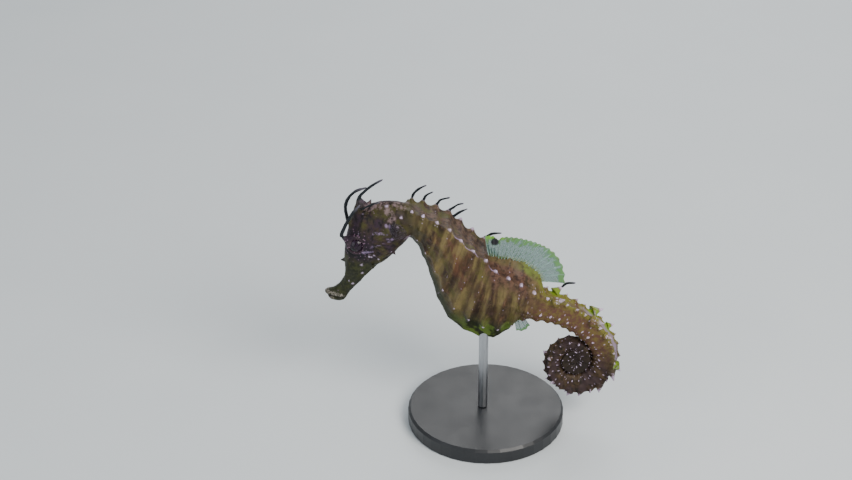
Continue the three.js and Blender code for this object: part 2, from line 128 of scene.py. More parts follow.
def readVectors(items, key):
    found = np.empty(len(items) * 3, np.float32)
    items.foreach_get(key, found)
    return found.reshape(-1, 3).astype(float)


def pointsOf(piece):
    return readVectors(piece.data.vertices, "co")


def normalsOf(piece):
    return readVectors(piece.data.vertex_normals, "vector")


def setPoints(piece, points):
    piece.data.vertices.foreach_set("co", np.asarray(points, np.float32).ravel())
    piece.data.update()


def setAttributes(piece, **attributes):  # a number or a vector for each point
    for name, values in attributes.items():
        values = np.asarray(values, np.float32)
        kind, key = ("FLOAT_VECTOR", "vector") if values.ndim == 2 else ("FLOAT", "value")
        piece.data.attributes.new(name, kind, "POINT").data.foreach_set(key, values.ravel())


def applyModifiers(piece):
    depsgraph = bpy.context.evaluated_depsgraph_get()
    mesh = bpy.data.meshes.new_from_object(piece.evaluated_get(depsgraph))
    piece.modifiers.clear()
    piece.data = mesh


def joinPieces(pieces):
    bpy.ops.object.select_all(action="DESELECT")
    for piece in pieces:
        piece.select_set(True)
    bpy.context.view_layer.objects.active = pieces[0]
    bpy.ops.object.join()
    return pieces[0]


def finishPiece(piece, material=None, replaced=()):  # into the frame's metres, smooth, on the body
    setPoints(piece, (pointsOf(piece) + animalPlace) / 1000)
    piece.data.shade_smooth()
    if material:
        piece.data.materials.clear()
        piece.data.materials.append(material)
    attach(piece, "root")
    if replaced:
        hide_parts(*replaced)
    print(f"{piece.name}: {len(piece.data.polygons)} faces")


def feed(tree, node, inputs):  # links the sockets among the values and sets the others
    for key, value in inputs.items():
        if isinstance(value, bpy.types.NodeSocket):
            tree.links.new(value, node.inputs[key])
        else:
            node.inputs[key].default_value = value


def add(tree, kind, inputs=None, **settings):
    made = tree.nodes.new(kind)
    for key, value in settings.items():
        setattr(made, key, value)
    feed(tree, made, inputs or {})
    return made


def sums(tree, operation, a, b=0.0, clamp=False):
    return add(tree, "ShaderNodeMath", {0: a, 1: b}, operation=operation, use_clamp=clamp).outputs[0]


def times(tree, a, b):
    return sums(tree, "MULTIPLY", a, b)


def geometryTree(name, inputs):  # a Geometry Nodes tree with named inputs: name, socket type, first value
    tree = bpy.data.node_groups.new(name, "GeometryNodeTree")
    tree.is_modifier = True
    tree.interface.new_socket(name="Geometry", in_out="INPUT", socket_type="NodeSocketGeometry")
    for label, kind, value in inputs:
        socket = tree.interface.new_socket(name=label, in_out="INPUT", socket_type=kind)
        if value is not None:
            socket.default_value = value
    tree.interface.new_socket(name="Geometry", in_out="OUTPUT", socket_type="NodeSocketGeometry")
    return tree, add(tree, "NodeGroupInput").outputs


def endTree(tree, geometry, material):
    realized = add(tree, "GeometryNodeRealizeInstances", {0: geometry})
    finished = add(tree, "GeometryNodeSetMaterial", {0: realized.outputs[0], "Material": material})
    add(tree, "NodeGroupOutput", {0: finished.outputs[0]})


def named(tree, name, kind="FLOAT"):
    return add(tree, "GeometryNodeInputNamedAttribute", {"Name": name}, data_type=kind).outputs["Attribute"]


def tubeAlong(tree, curve, radius, sides):  # a round tube, closed at both ends
    shaped = add(tree, "GeometryNodeSetCurveRadius", {"Curve": curve, "Radius": radius})
    ring = add(tree, "GeometryNodeCurvePrimitiveCircle", {"Resolution": sides, "Radius": 1.0})
    return add(tree, "GeometryNodeCurveToMesh", {
        "Curve": shaped.outputs[0],
        "Profile Curve": ring.outputs[0],
        "Scale": add(tree, "GeometryNodeInputRadius").outputs[0],
        "Fill Caps": True,
    }).outputs[0]


def makeTubesTree():  # round tubes along paths, as thick as the attribute of each point says
    tree, given = geometryTree("tubesAlongPaths", [
        ("Sides", "NodeSocketInt", 8),
        ("Thickness", "NodeSocketFloat", 1.0),
        ("Material", "NodeSocketMaterial", None),
    ])
    curves = add(tree, "GeometryNodeMeshToCurve", {"Mesh": given["Geometry"]}).outputs[0]
    radius = times(tree, named(tree, "thickness"), given["Thickness"])
    endTree(tree, tubeAlong(tree, curves, radius, given["Sides"]), given["Material"])
    return tree


def makeSpinesTree():  # a spine with a spreading foot and a blunt tip on each point, along its axis
    tree, given = geometryTree("spinesOnPoints", [
        ("Sides", "NodeSocketInt", 10),
        ("Rows", "NodeSocketInt", 10),
        ("Width", "NodeSocketFloat", 0.95),
        ("Foot", "NodeSocketFloat", 1.7),
        ("Bluntness", "NodeSocketFloat", 0.2),
        ("Tip", "NodeSocketFloat", 0.35),
        ("Material", "NodeSocketMaterial", None),
    ])
    line = add(tree, "GeometryNodeCurvePrimitiveLine", {"End": (0, 0, 1)}).outputs[0]
    rows = add(tree, "GeometryNodeResampleCurve", {"Curve": line, "Count": given["Rows"]}).outputs[0]
    left = sums(tree, "SUBTRACT", 1.0, add(tree, "GeometryNodeSplineParameter").outputs["Factor"])
    spreading = times(tree, sums(tree, "POWER", left, given["Foot"]), given["Width"])
    blunt = times(tree, sums(tree, "POWER", left, given["Tip"]), given["Bluntness"])
    spine = tubeAlong(tree, rows, sums(tree, "ADD", spreading, blunt), given["Sides"])
    axis = named(tree, "axis", "FLOAT_VECTOR")
    turn = add(tree, "FunctionNodeAlignRotationToVector", {"Vector": axis}, axis="Z")
    width, height = named(tree, "width"), named(tree, "height")
    placed = add(tree, "GeometryNodeInstanceOnPoints", {
        "Points": given["Geometry"],
        "Instance": spine,
        "Rotation": turn.outputs[0],
        "Scale": add(tree, "ShaderNodeCombineXYZ", {0: width, 1: width, 2: height}).outputs[0],
    })
    endTree(tree, placed.outputs[0], given["Material"])
    return tree


def growWith(tree, piece, **values):  # runs a tree on the piece and keeps the plain mesh it makes
    modifier = piece.modifiers.new("grow", "NODES")
    modifier.node_group = tree
    for item in tree.interface.items_tree:
        if item.item_type == "SOCKET" and item.in_out == "INPUT" and item.name.lower() in values:
            modifier[item.identifier] = values[item.name.lower()]
    applyModifiers(piece)
    return piece


tubesTree = makeTubesTree()
spinesTree = makeSpinesTree()

trunk = {
    "lastRing": 11,
    # x, z at each ring
    "back": [(-15.5, 26.8), (-12.8, 25.9), (-9.5, 24.4), (-6.3, 22.5), (-3.5, 19.7), (-0.5, 16.8),
             (2.6, 14.2), (5.1, 11), (8.3, 8.8), (11.5, 6.4), (14.8, 3.7), (18.1, 1.9)],
    "belly": [(-16.1, 18.2), (-14.6, 16.7), (-12.9, 13.2), (-10.9, 7.4), (-9.2, 1.2), (-6.4, -4.8),
              (-2.6, -8.4), (1.4, -10.4), (5.2, -10.8), (8.8, -8.4), (12, -5.1), (15.6, -5.1)],
    "halfWidth": [4, 4.5, 5.1, 5.7, 6.1, 6.4, 6.5, 6.3, 5.9, 5.1, 3.9, 2.9],
    "finBase": [0, 0, 0, 0, 0, 0, 0.2, 2, 3.7, 5, 4.6, 0],  # height of the fleshy foot of the dorsal fin
}
tail = {
    "rings": 37,
    "front": [(16.9, -1.6), (21.3, -3), (24.6, -4.8), (28.2, -7.4), (31.3, -10.8)],
    "coilCentre": (25.05, -16.5),
    "coilFrom": 10,  # degrees, then on by coilStep for each radius
    "coilStep": 40,
    "coilRadii": [8.41, 8.48, 8.41, 7.36, 5.42, 4.24, 3.72, 3.66, 3.48, 3.4, 3.76, 4, 3.12, 1.8, 1.14,
                  0.92, 1.03, 1.16, 1.28, 1.52, 1.4],
    "ringTaper": 0.5,
    "halfDepth": [3.7, 3.46, 3.32, 3.27, 3.17, 3.06, 2.93, 2.73, 2.46, 2.13, 1.91, 1.76, 1.68, 1.6, 1.4,
                  1.24, 1.05],
    "widthShare": 0.78,
    "roll": 22,
    "rollOver": (0.1, 0.35),  # share of the tail over which it rolls
    "join": (10.4, 11.6),  # rings over which the trunk turns into the tail
    "outlineJoin": (8.5, 11),  # and over which its outline turns into the tail's
}
relief = {  # heights in millimetres, where the body is thick
    "dip": 0.42,  # between two rings
    "dipShare": 0.12,  # of the half depth at most
    "hoop": 0.26,  # the rib of each ring
    "hoopReach": 0.13,  # in rings
    "ridge": 0.34,  # along each of the seven ridges
    "ridgeReach": 0.26,  # in places of the outline
    "boss": 0.42,  # where a ring crosses a ridge
    "bossAcross": 0.32,
    "bossAlong": 0.17,
    "thick": 6,  # half depth from which the heights are full
    "least": 0.22,  # share of them that is left on the thinnest part
    "calmKeel": 0.7,  # how much of all this the underside lacks
    "calmTail": 0.45,  # and the tail
}
# Half outline from mid back to keel: shares of half width and half depth on the trunk, then on the tail,
# and how much of a ridge runs there.
outline = {
    "back": (0, 0.95, 0, 0.88, 0),
    "shoulder": (0.4, 0.96, 0.43, 0.92, 0.2),
    "superior": (0.84, 1, 0.86, 0.98, 1),
    "flank": (0.95, 0.66, 1, 0.4, 0.35),
    "lateral": (1, 0.3, 1.04, -0.25, 0.9),
    "side": (0.82, -0.1, 0.94, -0.66, 0.35),
    "inferior": (0.6, -0.48, 0.68, -0.92, 0.9),
    "breast": (0.3, -0.77, 0.34, -0.98, 0.3),
    "keel": (0, -1, 0, -1, 1),
}
outlinePlace = {name: i for i, name in enumerate(outline)}


def outlineAt(place):  # half way between the straight outline and a rounded one
    table = np.array(list(outline.values()), float)
    mirror = np.array([-1, 1, -1, 1, 1])
    table = np.vstack([table[1] * mirror, table, table[-2] * mirror])
    rounded = smoothLine(table, place + 1)
    straight = np.stack([np.interp(place + 1, np.arange(len(table)), column) for column in table.T], 1)
    return rounded * 0.55 + straight * 0.45


def tailLine():  # evenly spaced points of the middle line, its ways, and its length
    steps = 3
    count = (len(tail["coilRadii"]) - 1) * steps + 1
    turn = np.radians(tail["coilFrom"] - tail["coilStep"] * np.arange(count) / steps)
    radius = smoothLine(tail["coilRadii"], np.arange(count) / steps)
    coil = np.array(tail["coilCentre"]) + radius * np.stack([np.cos(turn), np.sin(turn)], 1)
    given = np.vstack([tail["front"], coil])
    padded = np.vstack([2 * given[0] - given[1], given, 2 * given[-1] - given[-2]])
    found = []
    for p0, p1, p2, p3 in zip(padded, padded[1:], padded[2:], padded[3:]):
        d0, d1, d2 = (np.linalg.norm(b - a) ** 0.5 for a, b in ((p0, p1), (p1, p2), (p2, p3)))
        leave = ((p1 - p0) / d0 - (p2 - p0) / (d0 + d1) + (p2 - p1) / d1) * d1
        reach = ((p2 - p1) / d1 - (p3 - p1) / (d1 + d2) + (p3 - p2) / d2) * d1
        found.append(hermite(p1, p2, leave, reach, np.arange(16)[:, None] / 16))
    line = np.vstack([*found, given[-1:]])
    length = np.concatenate([[0], np.cumsum(np.linalg.norm(np.diff(line, axis=0), axis=1))])
    even = np.linspace(0, length[-1], 1600)
    line = np.stack([np.interp(even, length, column) for column in line.T], 1)
    return line, unit(np.gradient(line, axis=0)), length[-1]


tailPoints, tailWays, tailLength = tailLine()


def tailShare(ring):
    t = np.clip((ring - trunk["lastRing"]) / tail["rings"], -0.1, 1)
    return t * (1 + tail["ringTaper"] / 2) - t * t * tail["ringTaper"] / 2


def bodyFrame(ring):  # middle, way up, way to the right side, half depth, half width, share of tail
    back, belly = smoothLine(trunk["back"], ring), smoothLine(trunk["belly"], ring)
    half = (back - belly) / 2
    share = tailShare(ring)
    place = np.clip(share, 0, 1) * (len(tailPoints) - 1)
    numbers = np.arange(len(tailPoints))
    onTail = np.stack([np.interp(place, numbers, column) for column in tailPoints.T], 1)
    along = np.stack([np.interp(place, numbers, column) for column in tailWays.T], 1)
    onTail += along * (np.minimum(share, 0) * tailLength)[:, None]
    intoTail = smoothstep(*tail["join"], ring)[:, None]
    middle = ((back + belly) / 2) * (1 - intoTail) + onTail * intoTail
    up = unit(unit(half) * (1 - intoTail) + np.stack([-along[:, 1], along[:, 0]], 1) * intoTail)
    tailDepth = smoothLine(tail["halfDepth"], np.clip(share, 0, 1) * (len(tail["halfDepth"]) - 1))[:, 0]
    depth = np.linalg.norm(half, axis=1) * (1 - intoTail[:, 0]) + tailDepth * intoTail[:, 0]
    trunkWidth = smoothLine(trunk["halfWidth"], ring)[:, 0]
    width = trunkWidth * (1 - intoTail[:, 0]) + tailDepth * tail["widthShare"] * intoTail[:, 0]
    roll = np.radians(tail["roll"]) * smoothstep(*tail["rollOver"], share)[:, None]
    flatUp = np.stack([up[:, 0], np.zeros(len(up)), up[:, 1]], 1)
    across = np.broadcast_to([0.0, 1.0, 0.0], flatUp.shape)
    upward = flatUp * np.cos(roll) - across * np.sin(roll)
    side = across * np.cos(roll) + flatUp * np.sin(roll)
    centre = np.stack([middle[:, 0], np.zeros(len(up)), middle[:, 1]], 1)
    return centre, upward, side, depth, width, smoothstep(*tail["outlineJoin"], ring)


def reliefAt(ring, place, depth):  # how far the skin stands above the plain outline, in millimetres
    ridge = outlineAt(place)[:, 4]
    nearRing = np.abs(ring - np.round(ring))
    wave = 0.5 - 0.5 * np.cos(2 * np.pi * ring)
    size = np.clip(depth / relief["thick"], relief["least"], 1)
    height = -np.minimum(relief["dip"], depth * relief["dipShare"]) * wave * (0.5 + 0.5 * ridge)
    height = height + relief["hoop"] * size * bell(nearRing, relief["hoopReach"])
    for name, i in outlinePlace.items():
        strength = outline[name][4]
        if strength > 0.5:
            near = bell(place - i, relief["ridgeReach"])
            height = height + relief["ridge"] * size * strength * near * (1 - 0.45 * wave)
            near = bell(place - i, relief["bossAcross"])
            height = height + relief["boss"] * size * strength * near * bell(nearRing, relief["bossAlong"])
    under = smoothstep(outlinePlace["inferior"] + 0.2, outlinePlace["keel"] - 0.4, place)
    calm = (1 - relief["calmKeel"] * under) * (1 - relief["calmTail"] * smoothstep(9, 12, ring))
    return height * calm * smoothstep(-0.3, 0.9, ring)  # and the neck's end is plain


def bodySurface(ring, place, sign, out=0.0, withRelief=True):
    ring, place, sign = (np.asarray(a, float).ravel() for a in np.broadcast_arrays(ring, place, sign))
    centre, up, side, depth, width, onTail = bodyFrame(ring)
    shares = outlineAt(place)
    y = (shares[:, 0] * (1 - onTail) + shares[:, 2] * onTail) * width
    z = (shares[:, 1] * (1 - onTail) + shares[:, 3] * onTail) * depth
    lift = out + (reliefAt(ring, place, depth) if withRelief else 0)
    scale = 1 + lift / np.hypot(y, z)
    base = np.where(ring < trunk["lastRing"], smoothLine(trunk["finBase"], ring)[:, 0], 0)
    hump = base * np.interp(place, [0, 1, 1.9], [1, 0.34, 0])
    return centre + up * (z * scale + hump)[:, None] + side * (y * scale * sign)[:, None]


bodyMesh = {"trunkRows": 14, "tailRows": 10, "halfColumns": 49}  # rows to a ring, columns from back to keel


def bodyGrid():
    last, half = trunk["lastRing"], bodyMesh["halfColumns"]
    trunkRows = np.arange(-0.5, last, 1 / bodyMesh["trunkRows"])
    tailRows = np.arange(last, last + tail["rings"] + 0.01, 1 / bodyMesh["tailRows"])
    place = np.linspace(0, outlinePlace["keel"], half)
    place = np.concatenate([place, place[-2:0:-1]])
    sign = np.concatenate([np.ones(half), -np.ones(half - 2)])
    ringGrid, placeGrid = np.meshgrid(np.concatenate([trunkRows, tailRows]), place, indexing="ij")
    signGrid = np.broadcast_to(sign, ringGrid.shape)
    points = bodySurface(ringGrid, placeGrid, signGrid)
    return ringGrid, placeGrid, signGrid, points.reshape(*ringGrid.shape, 3)


bodyRing, bodyPlace, bodySign, bodyRows = bodyGrid()

head = {
    "top": [(-15.85, 27.1), (-19.2, 27.7), (-22.6, 27.4), (-25.6, 26.4), (-28.5, 24.5), (-30.5, 21.7),
            (-31.7, 18.1), (-32.2, 14.2), (-32.3, 10.9), (-32.2, 8.5), (-32.4, 6.4), (-33.6, 3.8),
            (-35.3, 2.1), (-37.8, 0.9)],
    "under": [(-16.45, 18.4), (-18.2, 16.3), (-20, 13.9), (-22.1, 11.6), (-24.5, 9.7), (-26.2, 7.8),
              (-27.3, 6.4), (-28.1, 5.2), (-28.8, 4.3), (-29.7, 3.3), (-30.6, 2.3), (-31.6, 0.8),
              (-32.6, -0.9), (-34.3, -1.4)],
    "halfWidth": [3.9, 4.2, 4.5, 4.6, 4.3, 3.8, 3.5, 3.2, 2.8, 2.4, 2.1, 1.8, 2, 1.6],
    "turn": 9,  # degrees to the animal's right, rising over turnRamp before turnFrom
    "turnFrom": -17,
    "turnRamp": 6,
    "eye": (-28.7, 2.85, 16.9),
    "eyeRadius": 1.9,
    "socketRoom": 0.1,
    # step out, radius
    "lid": [(0.8, 1.3), (0.95, 1.62), (1.2, 1.86), (1.45, 2.12), (1.7, 2.5), (2.6, 3.4)],
    "orbit": (2.5, 2.85),  # how far to the side its middle is, and its radius
    "roundness": (0.9, 0.85),  # up and down, and to the side: 1 is an ellipse, less is squarer
    "narrowTop": 0.12,
    "rowStep": 0.2,
    "columns": 72,
    "drawnIn": {0: 0.82, 1: 0.94, -1: 0.9},  # rows at the ends, and the share of their size
    "palePoints": 0.03,
}


def turnHead(points):
    points = np.array(points, float)
    dx = points[:, 0] - head["turnFrom"]
    angle = -np.radians(head["turn"]) * smoothstep(0, head["turnRamp"], -dx)
    x = head["turnFrom"] + dx * np.cos(angle) - points[:, 1] * np.sin(angle)
    y = dx * np.sin(angle) + points[:, 1] * np.cos(angle)
    return np.stack([x, y, points[:, 2]], 1)


def headSurface(station, angle):  # before the head is turned
    top, under = smoothLine(head["top"], station), smoothLine(head["under"], station)
    cosine, sine = (np.sign(way) * np.abs(way) ** power
                    for way, power in zip((np.cos(angle), np.sin(angle)), head["roundness"]))
    narrower = 1 - head["narrowTop"] * np.clip(cosine, 0, 1) ** 2 * smoothstep(9, 6, station)
    y = smoothLine(head["halfWidth"], station)[:, 0] * sine * narrower
    flat = (top + under) / 2 + (top - under) / 2 * cosine[:, None]
    return np.stack([flat[:, 0], y, flat[:, 1]], 1)


def headGrid():
    station = np.concatenate([[-0.45, -0.2], np.arange(0, len(head["top"]) - 0.99, head["rowStep"])])
    stationGrid, angleGrid = np.meshgrid(station, roundAngles(head["columns"]), indexing="ij")
    points = headSurface(stationGrid.ravel(), angleGrid.ravel()).reshape(*stationGrid.shape, 3)
    for row, share in head["drawnIn"].items():
        centre = points[row].mean(0)
        points[row] = centre + (points[row] - centre) * share
    return points


headRows = headGrid()


def ballPiece(name, centre, radius, sides=48):
    around = roundAngles(sides)
    rise = np.linspace(0, np.pi, sides // 2 + 1)[1:-1]
    rows = np.stack([np.stack([np.full(sides, np.cos(r)), np.sin(r) * np.cos(around),
                               np.sin(r) * np.sin(around)], 1) for r in rise])
    piece = closedTube(name, np.array(centre) + rows * radius)
    ends = pointsOf(piece)
    ends[-2:] = np.array(centre) + np.array([[radius, 0, 0], [-radius, 0, 0]])
    setPoints(piece, ends)
    return piece


def mirrored(point, sign):
    return np.array([point[0], point[1] * sign, point[2]])


def bothSides(points):  # of the head before it is turned: the left side's and the right side's
    return [turnHead([mirrored(p, sign) for p in points]) for sign in (-1, 1)]


def makeCranium():  # the head with its eye sockets cut out
    cranium = closedTube("cranium", headRows)
    around = roundAngles(40)
    unions, cuts = [], []
    for sign in (-1, 1):
        x, y, z = mirrored(head["eye"], sign)
        aside, orbitRadius = head["orbit"]
        unions.append(ballPiece("orbit", (x, aside * sign, z), orbitRadius))
        cuts.append(ballPiece("socket", (x, y, z), head["eyeRadius"] + head["socketRoom"]))
        rows = [np.stack([x + radius * np.cos(around), np.full(len(around), y + sign * step),
                          z + radius * np.sin(around)], 1) for step, radius in head["lid"]]
        cuts.append(closedTube("opening", np.array(rows)))
    for operation, pieces in (("UNION", unions), ("DIFFERENCE", cuts)):
        for piece in pieces:
            modifier = cranium.modifiers.new("cut", "BOOLEAN")
            modifier.operation = operation
            modifier.solver = "EXACT"
            modifier.object = piece
    applyModifiers(cranium)
    for piece in unions + cuts:
        bpy.data.objects.remove(piece)
    return cranium


spines = {
    "trunk": {"superior": 1.1, "lateral": 0.55},
    # by ring
    "tailLong": {12: 2.8, 16: 3.3, 18: 1.9, 22: 2.57, 24: 1.9, 26: 1.1, 27: 1.5, 29: 1.2, 32: 1.1},
    "tailShort": (1, 0.5),  # of the rings between, at the root and at the last ring with spines
    "last": 36,
    "lastGreen": 22,  # up to this ring the right side's long spines have a bright green foot
    "root": 0.3,
    "leanUp": (0.9, 0.1),  # on the trunk and on the tail
    "leanBack": (0.1, 0.25, 0.2),  # on the trunk, on the tail, and there for each millimetre of length
    "width": (0.42, 0.34),  # and for each millimetre of length
    "mostWidth": (0.46, 0.36),  # of the half depth, for a long one and for the others
    "paleFrom": 0.6,  # length without a pale tip
    "leftPale": 0.55,  # how pale the left side's long tips are beside the right side's
}


def spineAxis(ring, name, sign):
    centre, up = (a[0] for a in bodyFrame(np.array([ring]))[:2])
    before, after = (bodyFrame(np.array([ring + step]))[0][0] for step in (-0.2, 0.2))
    length = spineLength(ring, name)
    leanUp, leanBack = spines["leanUp"][0], spines["leanBack"][0]
    if ring >= trunk["lastRing"]:
        leanUp, leanBack = spines["leanUp"][1], spines["leanBack"][1] + spines["leanBack"][2] * length
    foot = bodySurface(ring, outlinePlace[name], sign, -spines["root"], withRelief=False)[0]
    out = unit(foot - centre)
    if name == "superior":
        out = unit(out + leanUp * up)
    out = unit(out + unit(after - before) * leanBack)
    return foot, foot + out * (length + spines["root"])


def spineLength(ring, name):
    if ring < trunk["lastRing"]:
        return spines["trunk"].get(name, 0)
    if name != "superior" or ring > spines["last"]:
        return 0
    root, end = spines["tailShort"]
    short = root + (end - root) * (ring - trunk["lastRing"]) / (spines["last"] - trunk["lastRing"])
    return spines["tailLong"].get(ring, short)


def allSpines():  # foot, tip, width, how pale the tip is and whether the foot is bright green
    found = []
    for ring in range(spines["last"] + 1):
        depth = bodyFrame(np.array([ring]))[3][0]
        for name in outline:
            length = spineLength(ring, name)
            if length > 0:
                isLong = name == "superior" and ring in spines["tailLong"]
                most = depth * spines["mostWidth"][0 if isLong else 1]
                width = min(spines["width"][0] + length * spines["width"][1], most)
                pale = np.clip((length - spines["paleFrom"]) * 1.4, 0, 1)
                for sign in (-1, 1):
                    green = isLong and ring <= spines["lastGreen"] and sign > 0
                    shown = pale * (spines["leftPale"] if isLong and sign < 0 else 1)
                    found.append((*spineAxis(ring, name, sign), width, shown, green))
    return found


headSpines = [  # foot, tip and width, before the head is turned; those off the middle are mirrored
    ((-30.2, 2.9, 17.4), (-32.5, 4.3, 19.5), 1.7),
    ((-31, 0, 10.5), (-33.6, 0, 10.2), 1.7),
    ((-20.2, 2.4, 15.7), (-19.2, 3.2, 14.8), 0.75),
    ((-24.6, 3.3, 11.2), (-24.3, 3.9, 10.5), 0.5),
    ((-26.4, 2.2, 25.4), (-26, 2.9, 26.6), 0.7),
]
coronet = {
    "at": (-27.3, 25),
    "points": 5,
    "reach": 1.5,  # of the points round the middle
    "palePoints": 0.04,
    "lean": (1.2, 1.1),  # of a point outwards, and how much less for the hindmost
    "height": (0.7, 2.3),  # of a point, and how much more for the hindmost
    "width": (0.75, 0.55),
    "star": 0.1,  # how far the crown's sides follow its points
    "narrow": 0.9,
    # how far up, half width and how far forwards of the middle
    "rows": [(-1.6, 3.1, -0.6), (-0.5, 2.7, -0.35), (0.3, 2.2, 0), (1, 1.75, 0.3), (1.7, 1.3, 0.6),
             (2.4, 0.9, 0.9), (2.9, 0.6, 1.1), (3.2, 0.25, 1.2)],
}


def coronetSpines():  # foot, tip and width; the hindmost is the tallest
    found = []
    x, z = coronet["at"]
    lean, lessLean = coronet["lean"]
    height, moreHeight = coronet["height"]
    width, moreWidth = coronet["width"]
    for angle in roundAngles(coronet["points"]):
        out = np.array([-np.cos(angle), np.sin(angle), 0])
        tall = (0.5 + 0.5 * np.cos(angle)) ** 3
        foot = np.array([x, 0, z + 0.5]) + out * coronet["reach"] * (1 - 0.5 * tall)
        tip = foot + out * (lean - lessLean * tall) + np.array([0, 0, height + moreHeight * tall])
        found.append((foot, tip, width + moreWidth * tall))
    return found


def coronetRows():
    angle = roundAngles(50)
    x, z = coronet["at"]
    rows = []
    for level, radius, ahead in coronet["rows"]:
        star = coronet["star"] * smoothstep(-0.5, 1.2, level)
        star = 1 + star * np.cos(coronet["points"] * (angle - np.pi))
        across = coronet["narrow"] * radius * star * np.sin(angle)
        rows.append(np.stack([x - ahead + radius * star * np.cos(angle), across,
                              np.full(len(angle), z + level)], 1))
    return np.array(rows)


filaments = {  # root to tip; those of the head before it is turned
    "brow": [
        [(-32.2, -4.1, 19.3), (-32, -4.3, 20.4), (-31.4, -4.2, 22), (-30.4, -4, 24.1), (-29.2, -3.7, 26.1),
         (-27.6, -3.4, 28.1)],
        [(-32.2, 4.1, 19.3), (-32.5, 4.3, 20.5), (-32.8, 4.3, 22.6), (-32.2, 4.4, 25), (-30.3, 4.6, 27.3),
         (-27.5, 4.9, 28.5)],
    ],
    "coronet": [
        [(-28.6, 0, 27.8), (-28.1, 0, 28.9), (-26.7, 0.1, 30.4), (-25.1, 0.3, 31.8), (-22.6, 0.7, 33.4)],
    ],
    "nape": [
        [(-27.6, -2.2, 26.2), (-26.7, -2.7, 26.9), (-25.7, -2.6, 27.5), (-24.3, -2.3, 28.1),
         (-22.9, -1.9, 28.4)],
    ],
    # ring of the right superior spine, how far up it, and the way from there
    "spine": [
        (0, 0.75, [(0.5, 0, 1.1), (1.8, 0, 2.3), (3.5, 0, 3.2)]),
        (1, 0.75, [(0.7, 0, 1.1), (2.4, 0, 2.1)]),
        (2, 0.75, [(0.9, 0, 1.1), (3.1, 0, 1.7)]),
        (3, 0.75, [(0.7, 0, 0.5), (1.8, 0, 1.3), (3.3, 0, 1.7)]),
        (3.4, 0.1, [(1.6, 0, 1.2), (3.4, -0.2, 2.2)]),
        (6, 0.75, [(1.6, 0, 1), (4, 0, 1.2)]),
        (12, 0.85, [(1, 0, 0.9), (3.2, 0, 1)]),
    ],
    "thickness": {"brow": 0.5, "coronet": 0.44, "nape": 0.3, "spine": 0.35},
    "tip": 0.62,  # share of the thickness that is left at the tip
    "taper": 1.6,  # more: thick for longer
    "steps": 22,  # points of a path on the head
    "spineSteps": 18,
}


def filamentPaths():  # a list of path, thickness
    found = []
    for name in ("brow", "coronet", "nape"):
        for points in filaments[name]:
            path = smoothLine(points, np.linspace(0, len(points) - 1, filaments["steps"]))
            found.append((turnHead(path), filaments["thickness"][name]))
    for ring, share, bend in filaments["spine"]:
        foot, tip = spineAxis(ring, "superior", 1)
        root = foot + (tip - foot) * share
        points = [root] + [root + np.array(step) for step in bend]
        path = smoothLine(points, np.linspace(0, len(points) - 1, filaments["spineSteps"]))
        found.append((path, filaments["thickness"]["spine"]))
    return found


def makeFilaments(paths):
    thickness = []
    for path, width in paths:
        t = np.linspace(0, 1, len(path))
        thinner = 1 - (1 - filaments["tip"]) * t ** filaments["taper"]
        thickness.append(width * thinner * (1 - 0.5 * smoothstep(0.93, 1, t)))
    return growWith(tubesTree, pathPiece("filaments", [p for p, _ in paths], thickness), sides=8)


def makeSpines(rows):
    feet, tips, widths = (np.array([row[k] for row in rows], float) for k in range(3))
    piece = meshPiece("spines", feet)
    setAttributes(piece, axis=unit(tips - feet), height=np.linalg.norm(tips - feet, axis=1), width=widths)
    return growWith(spinesTree, piece, sides=10)


def headSpineRows():
    rows = []
    for foot, tip, width in headSpines:
        for sign in ((-1, 1) if foot[1] else (1,)):
            line = turnHead([mirrored(foot, sign), mirrored(tip, sign)])
            rows.append((*line, width, head["palePoints"], False))
    for foot, tip, width in coronetSpines():
        rows.append((*turnHead([foot, tip]), width, coronet["palePoints"], False))
    return rows


skinFacts = {
    "voxel": 0.14,
    "faces": 192000,
    "bud": ((25.2, 0, -18.1), 1.05),  # middle and radius of the tail's blunt end
    "headBlend": 200,  # rounds that soften the change from the body's paint to the head's
    "headEnd": -12,  # nothing is carved behind this
}


def makeSkin():
    body = closedTube("skin", bodyRows)
    cranium = makeCranium()
    setPoints(cranium, turnHead(pointsOf(cranium)))
    crown = closedTube("crown", coronetRows())
    setPoints(crown, turnHead(pointsOf(crown)))
    spineRows = allSpines() + headSpineRows()
    paths = filamentPaths()
    bud = ballPiece("bud", *skinFacts["bud"], 24)
    skin = joinPieces([body, cranium, crown, bud, makeSpines(spineRows), makeFilaments(paths)])
    merge = skin.modifiers.new("oneSurface", "REMESH")
    merge.mode = "VOXEL"
    merge.voxel_size = skinFacts["voxel"]
    applyModifiers(skin)
    print("skin as one surface:", len(skin.data.polygons))
    return skin, spineRows, paths


def neighbours(piece):  # each point, a point beside it, and how many points have it beside them
    found = np.empty(len(piece.data.edges) * 2, np.int32)
    piece.data.edges.foreach_get("vertices", found)
    a, b = found.reshape(-1, 2).T
    here, there = np.concatenate([a, b]), np.concatenate([b, a])
    return here, there, np.bincount(here, minlength=len(piece.data.vertices))


def relax(piece, weights, rounds):  # each point moves towards the middle of its neighbours
    points = pointsOf(piece)
    here, there, count = neighbours(piece)
    for _ in range(rounds):
        total = np.stack([np.bincount(here, points[there, k], minlength=len(points)) for k in range(3)], 1)
        points += (total / count[:, None] - points) * weights[:, None]
    setPoints(piece, points)


def spread(piece, values, rounds):  # each point's value moves towards the mean of its neighbours
    here, there, count = neighbours(piece)
    for _ in range(rounds):
        values = 0.5 * (values + np.bincount(here, values[there], minlength=len(values)) / count)
    return values


